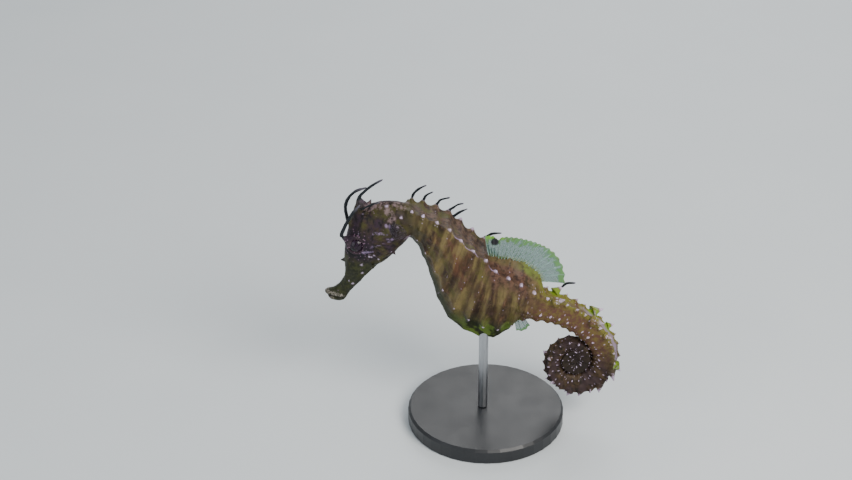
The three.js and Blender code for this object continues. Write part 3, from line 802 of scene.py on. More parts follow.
def distanceTo(points, path):
    path = np.asarray(path, float)
    nearest = np.full(len(points), np.inf)
    for a, b in zip(path[:-1], path[1:]):
        way = b - a
        t = np.clip((points - a) @ way / (way @ way), 0, 1)
        nearest = np.minimum(nearest, np.linalg.norm(points - a - t[:, None] * way, axis=1))
    return nearest


carving = {  # on both sides of the head before it is turned: radius, height, path
    "brow": (0.7, 0.55, [(-30.4, 3.6, 18.8), (-28.8, 4.1, 19.8), (-27.2, 3.9, 21.2), (-26.6, 3.1, 23.1),
                         (-26.8, 2.4, 24.4)]),
    "behindEye": (0.55, 0.28, [(-26.6, 4.6, 16.4), (-24.6, 4.9, 16.2), (-22.6, 4.8, 16.6)]),
    "cheekBone": (0.55, 0.25, [(-30.2, 3.3, 14), (-30.7, 2.9, 11.8), (-31.2, 2.3, 9.4), (-32, 1.8, 6.6)]),
    "gillSlit": (0.4, -0.42, [(-20.6, 4.2, 23.4), (-18.9, 4.6, 21), (-18.6, 4.4, 18), (-19.9, 3.7, 15.2),
                              (-22.2, 3.1, 12.9)]),
    "gillRim": (0.45, 0.26, [(-21.2, 4.4, 22.6), (-19.8, 4.8, 20.6), (-19.5, 4.6, 18),
                             (-20.7, 3.9, 15.7), (-22.8, 3.3, 13.6)]),
    "jaw": (0.5, 0.22, [(-24.6, 1.4, 10), (-26.6, 1.3, 8.2), (-28.6, 1, 5.6)]),
    "mouth": (0.24, -0.55, [(-37.5, 0, 0.6), (-36.9, 1, 0.5), (-35.6, 1.7, 0.4), (-34.2, 2, 0.2),
                            (-32.9, 1.7, 0.1)]),
    "upperLip": (0.34, 0.24, [(-37.6, 0, 1.1), (-37, 1, 1.15), (-35.6, 1.8, 1.1), (-34, 2, 0.95),
                              (-32.8, 1.8, 0.8)]),
    "lowerLip": (0.34, 0.16, [(-36.9, 0, 0), (-36.4, 0.9, 0), (-35.2, 1.6, -0.2), (-33.6, 1.9, -0.4)]),
    "underNose": (1.1, -0.3, [(-32.4, 0, 8.2), (-32.3, 0, 6.9)]),
    "overBrow": (1.2, 0.5, [(-30.6, 1.3, 21.6), (-29.7, 1.2, 23.2), (-28.7, 1, 24.5)]),
    "nostril": (0.3, -0.5, [(-31.15, 1.75, 15), (-31.25, 1.8, 14.7)]),
    "secondNostril": (0.25, -0.4, [(-31.6, 1.5, 13.9), (-31.65, 1.5, 13.7)]),
    "nape": (0.9, 0.3, [(-25.2, 0, 26.9), (-21, 0, 28), (-16.5, 0, 27.4)]),
    "finRoot": (0.9, 0.35, [(-20.5, 4.6, 21), (-20.5, 4.7, 23.6)]),
}
swellings = [((-23.4, 4.6, 18.4), 3.4, 0.4), ((-28.2, 2.6, 11.4), 2.2, 0.15)]  # middle, radius, height
gill = {  # the fan of fine lines on the gill cover
    "hub": (-26.4, 4.4, 18.4),
    "lines": 34,
    "height": 0.09,
    "inner": (2.2, 3.4),  # from the hub: no lines, full lines
    "outer": (7.4, 6.6),
    "behind": (-0.4, 0.9),
    "aside": (2.2, 3.2),  # from the head's middle
}
texture = {"swell": (0.09, 0.55), "grain": (0.055, 1.5)}  # height, and waves to a millimetre
neckSmoothing = {  # blends the end of the head and the start of the body into each other
    "front": (-19.5, -17),  # x: none, full
    "rear": (-12.8, -14.4),
    "above": 14,  # z
    "rounds": 50,
}


def carveHead(points, lift):
    near = np.where(points[:, 0] < skinFacts["headEnd"])[0]
    some = points[near]
    rise = np.zeros(len(some))
    for radius, height, path in carving.values():
        if path[0][1] == path[-1][1] == 0:  # both sides' lines lie on the middle
            height /= 2
        for line in bothSides(smoothLine(path, np.linspace(0, len(path) - 1, 14))):
            rise += height * bell(distanceTo(some, line), radius)
    for middle, radius, height in swellings:
        for place in bothSides([middle]):
            rise += height * bell(np.linalg.norm(some - place, axis=1), radius)
    for sign, (hub,) in zip((-1, 1), bothSides([gill["hub"]])):
        dx, dz = some[:, 0] - hub[0], some[:, 2] - hub[2]
        reach = np.hypot(dx, dz)
        cover = smoothstep(*gill["inner"], reach) * smoothstep(*gill["outer"], reach)
        cover = cover * smoothstep(*gill["behind"], dx)
        cover *= smoothstep(*gill["aside"], np.abs(some[:, 1])) * ((some[:, 1] - hub[1]) * sign > -2)
        rise += gill["height"] * cover * np.cos(gill["lines"] * np.arctan2(dz, dx))
    lift[near] += rise


def sculptSkin():
    points = pointsOf(skin)
    guard = np.zeros(len(points))  # spines and strands aren't smoothed away
    lines = [([foot, tip], width + 0.1) for foot, tip, width, *_ in spineRows]
    lines += [(path, width + 0.25) for path, width in filamentRows]
    for path, width in lines:
        low, high = np.min(path, axis=0) - 1.5, np.max(path, axis=0) + 1.5
        near = np.where(((points > low) & (points < high)).all(1))[0]
        close = smoothstep(width + 0.5, width, distanceTo(points[near], path))
        guard[near] = np.maximum(guard[near], close)
    x, z = points[:, 0], points[:, 2]
    neck = smoothstep(*neckSmoothing["front"], x) * smoothstep(*neckSmoothing["rear"], x)
    neck = neck * (z > neckSmoothing["above"])
    relax(skin, (0.25 + 0.5 * neck) * (1 - guard), 2)
    relax(skin, 0.6 * neck * (1 - guard), neckSmoothing["rounds"])
    points, normals = pointsOf(skin), normalsOf(skin)
    lift = np.zeros(len(points))
    carveHead(points, lift)
    (swell, swellWaves), (grain, grainWaves) = texture.values()
    for i, p in enumerate(points.tolist()):
        place = Vector(p)
        lift[i] += swell * noise.noise(place * swellWaves) + grain * noise.noise(place * grainWaves)
    setPoints(skin, points + normals * lift[:, None])
    thin = skin.modifiers.new("fewer", "DECIMATE")
    thin.ratio = min(1, skinFacts["faces"] / sum(len(p.vertices) - 2 for p in skin.data.polygons))
    applyModifiers(skin)


skin, spineRows, filamentRows = makeSkin()
sculptSkin()
print("skin carved:", len(skin.data.polygons))


def skinPlaces(points):
    bodyFlat, headFlat = bodyRows.reshape(-1, 3), turnHead(headRows.reshape(-1, 3))
    trees = []
    for flat in (bodyFlat, headFlat):
        tree = KDTree(len(flat))
        for i, p in enumerate(flat.tolist()):
            tree.insert(p, i)
        tree.balance()
        trees.append(tree)
    nearest = [[tree.find(p)[1:] for p in points.tolist()] for tree in trees]
    onBody, fromBody = (np.array(column) for column in zip(*nearest[0]))
    fromHead = np.array([away for _, away in nearest[1]])
    row, column = np.divmod(onBody, bodyRows.shape[1])
    ring, place, sign = (a[row, column].copy() for a in (bodyRing, bodyPlace, bodySign))
    away = points - bodyRows[row, column]
    following, leading = np.minimum(row + 1, len(bodyRows) - 1), np.maximum(row - 1, 0)
    onward = bodyRows[following, column] - bodyRows[leading, column]
    ringSteps = np.gradient(bodyRing[:, 0])[row] * 2
    ring += np.clip((away * onward).sum(1) / (onward * onward).sum(1), -0.6, 0.6) * ringSteps
    around = bodyRows.shape[1]
    across = bodyRows[row, (column + 1) % around] - bodyRows[row, column - 1]
    placeStep = np.sign(sign) * 2 * outlinePlace["keel"] / (bodyMesh["halfColumns"] - 1)
    place += np.clip((away * across).sum(1) / (across * across).sum(1), -0.6, 0.6) * placeStep
    return ring, np.clip(place, 0, outlinePlace["keel"]), sign, smoothstep(-0.5, 0.5, fromBody - fromHead)


headMarks = {  # on both sides of the head before it is turned
    "streak": [
        [(-24.2, 4.5, 21), (-23, 4.5, 21.2), (-21.6, 4.5, 21.2)],
        [(-24.7, 4.5, 17.3), (-23.2, 4.6, 17.9), (-21.9, 4.5, 18.5)],
        [(-27, 4.1, 15.3), (-25.5, 4.3, 15.7), (-24.3, 4.4, 16.1)],
        [(-21.2, 4.2, 23.5), (-20.9, 4.4, 21.4), (-20.6, 4.4, 19.2)],
        [(-20.4, 4.1, 23.5), (-20.1, 4.4, 21.4), (-19.9, 4.3, 19.8)],
        [(-26.3, 3.2, 23.2), (-25.2, 3.6, 22.4), (-24.4, 3.9, 21.9)],
    ],
    "band": [
        [(-26.2, 1.2, 26), (-24.4, 1, 26.8), (-22.6, 1, 27.2), (-21, 1.6, 27.2)],
        [(-21.2, 1.9, 27.1), (-20.6, 2.9, 26.2), (-20.1, 3.6, 25)],
        [(-19, 0.8, 27.8), (-17, 1, 27.4)],
    ],
    "lip": [
        [(-37.3, 0, 1.2), (-36.8, 0.9, 1.3), (-35.4, 1.8, 1.25), (-33.8, 1.95, 1.1), (-32.8, 1.8, 0.9)],
        [(-36.4, 0.9, 0), (-35.2, 1.6, -0.3)],
    ],
    # gap: the crease between the lips, which gets painted shade
    "gap": [[(-37.4, 0, 0.6), (-36.9, 1, 0.5), (-35.6, 1.7, 0.4), (-34.2, 2, 0.2), (-32.9, 1.7, 0.1)]],
    "radius": {"streak": 0.34, "band": 1.1, "lip": 0.5, "gap": 0.24},
    "dotSize": 0.78,  # share of the radius below
    # middle and radius
    "dots": [
        ((-24.1, 4.2, 14.8), 0.3), ((-25.4, 4.1, 14.2), 0.34), ((-24.8, 4, 14.1), 0.26),
        ((-23.2, 3.5, 13.3), 0.34), ((-27.5, 3.5, 11.4), 0.34), ((-27.5, 2.6, 8.5), 0.38),
        ((-30, 2.2, 4.9), 0.34), ((-30.9, 2.3, 5.8), 0.24), ((-20.3, 3.4, 15.9), 0.36),
        ((-18, 3.3, 25.5), 0.4), ((-18.7, 4.1, 23.2), 0.36), ((-26.9, 2.1, 24.8), 0.6),
        ((-27.9, 4, 20.4), 0.24), ((-31.2, 2.7, 9.9), 0.24), ((-21.4, 1.4, 27.3), 0.45),
        ((-29.6, 3.2, 12.4), 0.24),
    ],
}


def strengthNear(points, path, radius):  # which points lie near a path, and how strongly
    path = np.asarray(path, float)
    low, high = path.min(0) - 2 * radius, path.max(0) + 2 * radius
    near = np.where(((points > low) & (points < high)).all(1))[0]
    return near, smoothstep(radius * 1.3, radius * 0.6, distanceTo(points[near], path))


def markHead(points):
    marks = {name: np.zeros(len(points)) for name in [*headMarks["radius"], "headDot"]}
    rows = [(name, path, radius) for name, radius in headMarks["radius"].items()
            for path in headMarks[name]]
    for spot, radius in headMarks["dots"]:
        rows.append(("headDot", [spot, np.add(spot, (0.02, 0, 0))], radius * headMarks["dotSize"]))
    for name, path, radius in rows:
        for line in bothSides(path):
            near, strength = strengthNear(points, line, radius)
            marks[name][near] = np.maximum(marks[name][near], strength)
    setAttributes(skin, **marks)


# in millimetres from the eye's middle: none, full; below is where the painted shade under the eye starts
# and is full, and level is half the height over which that shade fades in round the eye's middle
eyeMarks = {"dark": (5.6, 2.8), "below": (2.3, 3.0), "lid": (2.9, 2.5), "level": 1.5}


def markEyes(points):  # the dark skin round each eye, the painted shade below its middle, and the lid
    near, lid = np.zeros(len(points)), np.zeros(len(points))
    level = head["eye"][2]
    below = smoothstep(level + eyeMarks["level"], level - eyeMarks["level"], points[:, 2])
    for middle in bothSides([head["eye"]]):
        away = np.linalg.norm(points - middle, axis=1)
        near = np.maximum(near, smoothstep(*eyeMarks["dark"], away))
        below *= smoothstep(*eyeMarks["below"], away)
        lid = np.maximum(lid, smoothstep(*eyeMarks["lid"], away))
    setAttributes(skin, nearEye=near, belowEye=below, lid=lid)


spineMarks = {  # along a spine, from foot to tip; off: from its middle line in millimetres
    "pale": (0.42, 0.68),
    "leafFrom": (-0.7, -0.1),
    "leafTo": (0.55, 0.3),
    "leafOff": (1.9, 0.9),
}


def markSpines(points):
    tips, leaf = np.zeros(len(points)), np.zeros(len(points))
    for foot, tip, width, pale, green in spineRows:
        way = tip - foot
        length = np.linalg.norm(way)
        near = np.where(np.abs(points - foot).max(1) < length + 1.2)[0]
        along = (points[near] - foot) @ way / length ** 2
        off = np.linalg.norm(points[near] - foot - np.clip(along, 0, 1)[:, None] * way, axis=1)
        inside = smoothstep(0.35, 0.1, off - width * np.clip(1.2 - along, 0.25, 1))
        tips[near] = np.maximum(tips[near], smoothstep(*spineMarks["pale"], along) * inside * pale)
        if green:
            grown = smoothstep(*spineMarks["leafFrom"], along) * smoothstep(*spineMarks["leafTo"], along)
            leaf[near] = np.maximum(leaf[near], grown * smoothstep(*spineMarks["leafOff"], off))
    setAttributes(skin, tips=tips, leaf=leaf)


def markStrands(points):
    strand, strandTip = np.zeros(len(points)), np.zeros(len(points))
    for path, width in filamentRows:
        near = np.where(np.abs(points - path.mean(0)).max(1) < 8)[0]
        off = distanceTo(points[near], path[1:])
        way = path[-1] - path[0]
        share = np.clip((points[near] - path[0]) @ way / np.sum(way ** 2), 0, 1)
        here = smoothstep(width * 1.9, width * 1.4, off)
        strand[near] = np.maximum(strand[near], here)
        strandTip[near] = np.maximum(strandTip[near], here * share)
    setAttributes(skin, strand=strand, strandTip=strandTip)


def markSkin():
    points = pointsOf(skin)
    ring, place, sign, onHead = skinPlaces(points)
    onHead = spread(skin, onHead, skinFacts["headBlend"])
    turn = place / outlinePlace["keel"] * np.pi * sign
    _, _, _, depth, width, _ = bodyFrame(ring)
    steps = np.linspace(-1, trunk["lastRing"] + tail["rings"], 600)
    middles = bodyFrame(steps)[0]
    walked = np.concatenate([[0], np.cumsum(np.linalg.norm(np.diff(middles, axis=0), axis=1))])
    around = np.pi * (depth + width) / 16  # millimetres for each unit of place
    setAttributes(
        skin,
        bodyPlace=np.stack([ring, np.cos(turn), np.sin(turn)], 1),
        skinMap=np.stack([np.interp(ring, steps, walked), place * around * sign, sign], 1),
        pace=np.interp(ring, steps, np.gradient(walked, steps)),  # millimetres from ring to ring
        around=around,
        roundBody=place,
        onHead=onHead,
        height=reliefAt(ring, place, depth) * (1 - onHead),
    )
    markHead(points)
    markEyes(points)
    markSpines(points)
    markStrands(points)
    print("skin marked")


markSkin()


def tone(red, green, blue):  # from the usual 0 to 255 to Blender's linear light
    def linear(c):
        c /= 255
        return c / 12.92 if c <= 0.04045 else ((c + 0.055) / 1.055) ** 2.4
    return (linear(red), linear(green), linear(blue), 1)


def blendTones(tree, share, a, b, way="MIX"):
    return add(tree, "ShaderNodeMix", {0: share, 6: a, 7: b}, data_type="RGBA", blend_type=way).outputs[2]


def between(tree, value, low, high):  # 0 below low, 1 above high
    return add(tree, "ShaderNodeMapRange", {"Value": value, "From Min": low, "From Max": high},
               interpolation_type="SMOOTHSTEP").outputs[0]


def band(tree, value, low, high, soft):  # 1 between low and high
    rising = between(tree, value, low - soft, low + soft)
    return times(tree, rising, between(tree, value, high + soft, high - soft))


def ranged(tree, value, least, most):
    return add(tree, "ShaderNodeMapRange", {"Value": value, "To Min": least, "To Max": most}).outputs[0]


def apart(tree, value, centre):
    return sums(tree, "ABSOLUTE", sums(tree, "SUBTRACT", value, centre))


def stretch(tree, vector, scale):
    return add(tree, "ShaderNodeVectorMath", {0: vector, 1: scale}, operation="MULTIPLY").outputs[0]


def grainAt(tree, vector, scale, detail=3.0, roughness=0.55):
    return add(tree, "ShaderNodeTexNoise", {"Vector": vector, "Scale": scale, "Detail": detail,
                                            "Roughness": roughness}).outputs["Fac"]


def cellsAt(tree, vector, scale, randomness=1.0):
    values = {"Vector": vector, "Scale": scale, "Randomness": randomness}
    return add(tree, "ShaderNodeTexVoronoi", values).outputs


def chanceOf(tree, cells):  # a number from 0 to 1 for each cell
    return add(tree, "ShaderNodeSeparateColor", {0: cells["Color"]}).outputs[0]


def attributeOf(tree, name, output="Fac"):
    return add(tree, "ShaderNodeAttribute", attribute_name=name).outputs[output]


def spotOf(tree):
    return add(tree, "ShaderNodeTexCoord").outputs["Object"]


def partsOf(tree, vector):
    return add(tree, "ShaderNodeSeparateXYZ", {0: vector}).outputs


def newMaterial(name, shown):
    material = bpy.data.materials.new(name)
    material.use_nodes = True
    material.diffuse_color = shown
    return material, material.node_tree, material.node_tree.nodes["Principled BSDF"]


def maskOf(tree, read, masks):  # the product of masks, each a name or a name with its limits
    made = None
    for mask in masks:
        if isinstance(mask, str):
            part = read[mask]
        else:
            name, *limits = mask
            part = (band if len(limits) == 3 else between)(tree, read[name], *limits)
        made = part if made is None else times(tree, made, part)
    return made


def layered(tree, read, tones, colour, layers):  # each layer: tone, strength, masks
    for name, strength, *masks in layers:
        share = maskOf(tree, read, masks)
        share = times(tree, share, strength) if strength < 1 else share
        colour = blendTones(tree, share, colour, tones[name])
    return colour


skinPaint = {
    "trunkLight": tone(112, 98, 60),
    "trunkMiddle": tone(76, 60, 38),
    "trunkDark": tone(44, 30, 21),
    "rust": tone(92, 58, 42),
    "olive": tone(78, 74, 32),
    "mauve": tone(98, 72, 66),
    "back": tone(90, 70, 56),
    "backDark": tone(52, 36, 32),
    "backOlive": tone(78, 76, 36),
    "collar": tone(68, 62, 36),
    "saddle": tone(96, 68, 56),
    "finBase": tone(96, 108, 44),
    "belly": tone(90, 110, 42),
    # green skin with painted shade, for the underside
    "bellyDark": tone(30, 38, 20),
    # the head's tones are darker than the body's: partly the head's own colour, partly painted shade
    "head": tone(54, 42, 34),
    "headDark": tone(24, 18, 20),
    "headOlive": tone(60, 56, 28),
    "headPurple": tone(46, 32, 46),
    "eyeAbove": tone(34, 22, 34),
    # painted shade under the eye
    "eyeBelow": tone(15, 15, 21),
    "lid": tone(62, 47, 54),
    "snout": tone(30, 33, 18),
    "jaw": tone(46, 50, 24),
    "lip": tone(140, 132, 124),
    "tailLight": tone(96, 80, 42),
    "tailBrown": tone(84, 56, 46),
    # painted highlight along the top of the tail
    "tailEdge": tone(112, 112, 36),
    "coil": tone(54, 40, 30),
    "coilMauve": tone(56, 42, 44),
    "coilDark": tone(28, 22, 16),
    "band": tone(138, 116, 118),
    "speck": tone(150, 116, 140),
    "lavender": tone(150, 128, 164),
    "pale": tone(206, 184, 212),
    "strand": tone(22, 27, 31),
    "strandTip": tone(84, 80, 90),
    "leaf": tone(116, 144, 30),
}

skinGrains = {  # scale (or stretch along the body and round it), detail, roughness
    "streaks": ((1.9, 0.9), 3.0, 0.5),
    "fineStreaks": ((6.0, 2.6), 3.0, 0.6),
    "blotches": ((0.8, 1.6), 3.0, 0.55),
    "patches": ((0.9, 1.6), 3.0, 0.55),
    "mottle": (900.0, 4.0, 0.65),
    "wide": (330.0, 3.0, 0.55),
    "fine": (2600.0, 3.0, 0.6),
}
# A mixed tone starts with a plain one. Layers follow: tone, strength, and masks that are multiplied.
# A mask is what is read, where it starts and where it is full, or from where to where with how soft an
# edge. It reads rings from the neck, round: places of the outline from the back, level: metres of height.
skinTones = {
    "backTone": ["backDark", ("back", 1, ("mottle", 0.42, 0.6)), ("backOlive", 0.8, ("wide", 0.52, 0.62)),
                 ("mauve", 0.5, ("wide", 0.46, 0.36))],
    "saddleTone": ["backDark", ("saddle", 1, ("mottle", 0.36, 0.56))],
    # the underside: green skin darkened by painted shade, with lighter green patches
    "bellyTone": ["bellyDark", ("belly", 1, ("patches", 0.44, 0.54), ("ring", 4.6, 6.8))],
    "tailTone": ["tailBrown", ("tailLight", 1, ("mottle", 0.4, 0.66)),
                 # painted highlight: lighter yellow-green along the top of the tail
                 ("tailEdge", 0.7, ("round", 2.9, 1.9), ("wide", 0.36, 0.55)),
                 ("olive", 0.85, ("round", 5.6, 7.0))],
    # the last layer is painted shade, darker towards the innermost turns of the coil
    "coilTone": ["coilDark", ("coil", 1, ("mottle", 0.36, 0.58)), ("coilMauve", 0.7, ("wide", 0.46, 0.62)),
                 ("trunkMiddle", 0.5, ("wide", 0.46, 0.38)), ("coilDark", 0.8, ("ring", 34.0, 41.0))],
    "snoutTone": ["snout", ("jaw", 1, ("mottle", 0.4, 0.6))],
    # painted shade: below the eye's middle the dark skin round it turns darker
    "eyeTone": ["eyeAbove", ("eyeBelow", 1, "belowEye")],
    # partly the head's own colour, partly painted shade
    "headTone": ["headDark", ("head", 1, ("mottle", 0.36, 0.62)), ("headOlive", 1, ("wide", 0.5, 0.66)),
                 ("headPurple", 0.8, ("wide", 0.5, 0.38), ("mottle", 0.35, 0.55)),
                 ("snoutTone", 0.85, ("level", 0.0505, 0.0465)),
                 ("eyeTone", 0.92, "nearEye", ("fine", 0.2, 0.5)),
                 ("lid", 0.9, "lid", ("fine", 0.25, 0.6))],
    "strandTone": ["strand", ("strandTip", 1, ("strandTip", 0.7, 1.0))],
    "skinTone": [
        "trunkDark",
        ("trunkMiddle", 1, ("streaks", 0.36, 0.54)),  # soft bars up and down each ring, over wider blotches
        ("rust", 0.6, ("blotches", 0.52, 0.64)),
        ("trunkLight", 0.85, ("streaks", 0.5, 0.64)),
        ("olive", 0.6, ("blotches", 0.46, 0.34)),
        ("trunkLight", 0.35, ("fineStreaks", 0.52, 0.7)),
        ("trunkDark", 0.35, ("fineStreaks", 0.46, 0.3)),
        ("mauve", 0.4, ("mottle", 0.52, 0.7)),
        ("collar", 0.7, ("ring", 2.0, 0.9)),
        ("collar", 1, ("ring", 0.55, -0.2)),
        ("backTone", 0.85, ("round", 2.1, 1.5), ("ring", -0.4, 0.6)),
        ("saddleTone", 0.85, ("ring", 6.2, 11.0, 0.5), ("round", 3.4, 2.2)),  # under the dorsal fin
        ("finBase", 1, ("ring", 6.4, 10.9, 0.2), ("round", 0.78, 0.4), "rimGrows", ("mottle", 0.3, 0.5)),
        ("bellyTone", 0.9, "underside"),
        ("tailTone", 1, ("ring", 9.0, 11.5)),
        ("coilTone", 1, ("ring", 18.0, 23.0)),
        ("headTone", 1, "onHead"),
    ],
}
skinMarks = [
    # broken pale lines along the superior ridge, and a painted highlight in pale lavender along the outline
    # of the tail's right side
    ("lavender", 0.75, ("fromSuperior", 0.22, 0.08), "body", ("ring", 3.4, 8.6, 0.4),
     ("blotches", 0.46, 0.54)),
    ("lavender", 0.6, ("ring", 15.0, 27.0, 1.0), ("round", 1.5, 0.9), ("side", -0.2, 0.2),
     ("wide", 0.4, 0.5)),
    ("pale", 0.42, "smallDots"),
    ("pale", 0.7, "dots"),
    ("speck", 0.6, ("specks", 0.3, 0.18), "clouds", "onHead"),
    ("lavender", 0.6, "streak", ("mottle", 0.3, 0.5)),
    ("band", 0.75, "band", ("mottle", 0.4, 0.66)),
    ("lip", 0.8, "lip", ("fine", 0.42, 0.6)),
    ("pale", 0.75, "headDot"),
    # painted shade in the crease between the lips
    ("headDark", 0.9, "gap"),
    ("leaf", 0.85, "leaf"),
    ("pale", 0.9, "tips"),
    ("strandTone", 1, "strand"),
]
skinZones = {  # masks from which other measures are made
    "rim": [("ring", 8.2, 9.8)],  # the green along the dorsal fin's foot grows brighter towards the rear
    "belly": [("round", 5.9, 7.3), ("ring", 12.0, 9.5)],
    "bellyPatches": [("ring", 5.6, 9.8, 0.3), ("round", 5.2, 6.4)],
    "cloudy": [("wide", 0.55, 0.66)],
    # painted shade in the hollows between the rings, where the relief sinks
    "hollowShade": [("height", -0.1, -0.45)],
    "onTail": [("ring", 9.0, 11.0)],
    "onCoil": [("ring", 18.0, 22.0)],
    "dotRows": [("round", 1.4, 6.6, 0.1)],
    "middleRow": [("round", 2.9, 3.2), ("round", 5.1, 4.8)],
    "byRing": [("fromRing", 0.7, 0.45)],
}
skinDots = {
    "radius": (0.12, 0.35),  # in millimetres
    "lessOnCoil": 0.55,  # share of the radius
    "edge": 0.06,
    "uneven": 0.7,
    "smallScale": 1.25,  # cells to a millimetre
    "smallRadius": (0.24, 0.12),  # none, full
    "specks": 1350.0,  # cells to a metre, on the head
    "rare": (0.34, 0.3),  # share of the cells on the rings that have one
    "often": (0.66, 0.62),  # and anywhere on the tail
}
skinGloss = {
    "roughness": (0.4, 0.66),
    "specular": 0.2,
    "hollowShade": 0.5,  # how much painted shade darkens the hollows between the rings
    "pores": 2400.0,  # cells to a metre
    "poreDepth": -0.6,
    "dotHeight": 1.2,
    "bump": 0.35,
    "bumpDepth": 0.00012,
}


def readSkin(tree):  # what the masks read: places on the body, marks and grains
    spot = spotOf(tree)
    place, skinMap = (attributeOf(tree, name, "Vector") for name in ("bodyPlace", "skinMap"))
    names = ("onHead", "height", "pace", "around", "nearEye", "belowEye", "lid", "streak", "band", "lip",
             "gap", "headDot", "leaf", "tips", "strand", "strandTip")
    read = {name: attributeOf(tree, name) for name in names}
    read["spot"], read["skinMap"], read["round"] = spot, skinMap, attributeOf(tree, "roundBody")
    read["ring"], read["side"], read["level"] = (
        partsOf(tree, vector)[part] for vector, part in ((place, 0), (skinMap, 2), (spot, 2)))
    for name, (scale, detail, roughness) in skinGrains.items():
        vector = spot
        if isinstance(scale, tuple):
            vector, scale = stretch(tree, place, (scale[0], scale[1], scale[1])), 1.0
        read[name] = grainAt(tree, vector, scale, detail, roughness)
    read["body"] = sums(tree, "SUBTRACT", 1.0, read["onHead"], clamp=True)
    read["fromSuperior"] = times(tree, apart(tree, read["round"], outlinePlace["superior"]), read["around"])
    rim, belly, patches, cloudy = (maskOf(tree, read, skinZones[name])
                                   for name in ("rim", "belly", "bellyPatches", "cloudy"))
    read["rimGrows"] = sums(tree, "ADD", rim, 0.25, clamp=True)
    read["underside"] = sums(tree, "MAXIMUM", belly, patches)
    read["clouds"] = sums(tree, "MAXIMUM", read["nearEye"], times(tree, cloudy, 0.6))
    read["specks"] = cellsAt(tree, spot, skinDots["specks"])["Distance"]
    return read


def readDots(tree, read):  # a dot where a ring crosses a ridge, and small dots on the rings
    ring, roundBody, facts = read["ring"], read["round"], skinDots
    nearestRing = sums(tree, "ROUND", ring)
    nearestRow = sums(tree, "ROUND", times(tree, roundBody, 0.5))  # the ridges are every second place
    read["fromRing"] = times(tree, apart(tree, ring, nearestRing), read["pace"])
    fromRow = times(tree, apart(tree, roundBody, times(tree, nearestRow, 2.0)), read["around"])
    zones = ("onTail", "onCoil", "dotRows", "middleRow", "byRing")
    onTail, onCoil, dotRows, middleRow, byRing = (maskOf(tree, read, skinZones[name]) for name in zones)
    cell = add(tree, "ShaderNodeCombineXYZ", {0: nearestRing, 1: nearestRow, 2: read["side"]}).outputs[0]
    chance = add(tree, "ShaderNodeTexWhiteNoise", {"Vector": cell}, noise_dimensions="3D").outputs["Value"]
    off = sums(tree, "ADD", times(tree, read["fromRing"], read["fromRing"]), times(tree, fromRow, fromRow))
    unevenness = times(tree, sums(tree, "SUBTRACT", read["fine"], 0.5), facts["uneven"])
    off = sums(tree, "ADD", sums(tree, "SQRT", off), unevenness)
    smaller = sums(tree, "SUBTRACT", 1.0, times(tree, onCoil, facts["lessOnCoil"]))
    size = times(tree, ranged(tree, chance, *facts["radius"]), smaller)
    dots = between(tree, sums(tree, "SUBTRACT", off, size), facts["edge"], -facts["edge"])
    hidden = times(tree, middleRow, sums(tree, "SUBTRACT", 1.0, onTail))
    dots = times(tree, dots, times(tree, read["body"], dotRows))
    read["dots"] = times(tree, dots, sums(tree, "SUBTRACT", 1.0, hidden))
    cells = cellsAt(tree, read["skinMap"], facts["smallScale"], 0.9)
    kept = chanceOf(tree, cells)
    rare = times(tree, between(tree, kept, *facts["rare"]), byRing)
    often = times(tree, onTail, between(tree, kept, *facts["often"]))
    read["smallDots"] = times(tree, between(tree, cells["Distance"], *facts["smallRadius"]),
                              times(tree, sums(tree, "MAXIMUM", rare, often), read["body"]))


def makeSkinMaterial():
    material, tree, shader = newMaterial("seahorseSkin", skinPaint["trunkMiddle"])
    read = readSkin(tree)
    readDots(tree, read)
    tones = dict(skinPaint)
    for name, (first, *layers) in skinTones.items():
        tones[name] = layered(tree, read, tones, tones[first], layers)
    # painted shade: the hollows between the rings are darkened towards the darkest trunk tone
    hollowShade = times(tree, maskOf(tree, read, skinZones["hollowShade"]), skinGloss["hollowShade"])
    colour = blendTones(tree, hollowShade, tones["skinTone"], skinPaint["trunkDark"], "MULTIPLY")
    pores = cellsAt(tree, read["spot"], skinGloss["pores"])["Distance"]
    grains = sums(tree, "ADD", times(tree, pores, skinGloss["poreDepth"]), read["fine"])
    raised = times(tree, sums(tree, "MAXIMUM", read["smallDots"], read["dots"]), skinGloss["dotHeight"])
    bump = {"Strength": skinGloss["bump"], "Distance": skinGloss["bumpDepth"],
            "Height": sums(tree, "ADD", grains, raised)}
    feed(tree, shader, {
        "Base Color": layered(tree, read, tones, colour, skinMarks),
        "Roughness": ranged(tree, read["fine"], *skinGloss["roughness"]),
        "Specular IOR Level": skinGloss["specular"],
        "Normal": add(tree, "ShaderNodeBump", bump).outputs[0],
    })
    return material


skin.name = "skin"
fleshNodes = ["snout", "head", "coronet", "neck", "trunk_front", "trunk_rear"]
fleshNodes += [f"tail_{i}" for i in range(1, 9)]
finishPiece(skin, makeSkinMaterial(), fleshNodes)

eyeFacts = {
    "radius": 2.06,
    "lookUp": -24,  # degrees
    "lookAhead": 16,
    "bulge": 0.045,  # share of the radius that the middle stands out
    "pupil": 0.34,  # radians from the middle of the eye
    "ring": tone(72, 58, 56),
    "brown": tone(20, 13, 18),
    "mauve": tone(42, 27, 44),
    "fleck": tone(150, 124, 140),
    "black": (0.004, 0.004, 0.005, 1),
    "spokes": (9.0, 9.0, 1.2),  # how the grain is drawn out from the pupil
    "flecks": 1900.0,
    "rings": [(0.02, 1.2, 34), (1.26, 3.1, 20)],  # from the middle of the look: from, to, how many
    "columns": 64,
    "finish": {"Roughness": 0.22, "Specular IOR Level": 0.2, "Coat Weight": 0.15, "Coat Roughness": 0.08,
               "Coat IOR": 1.33},
}


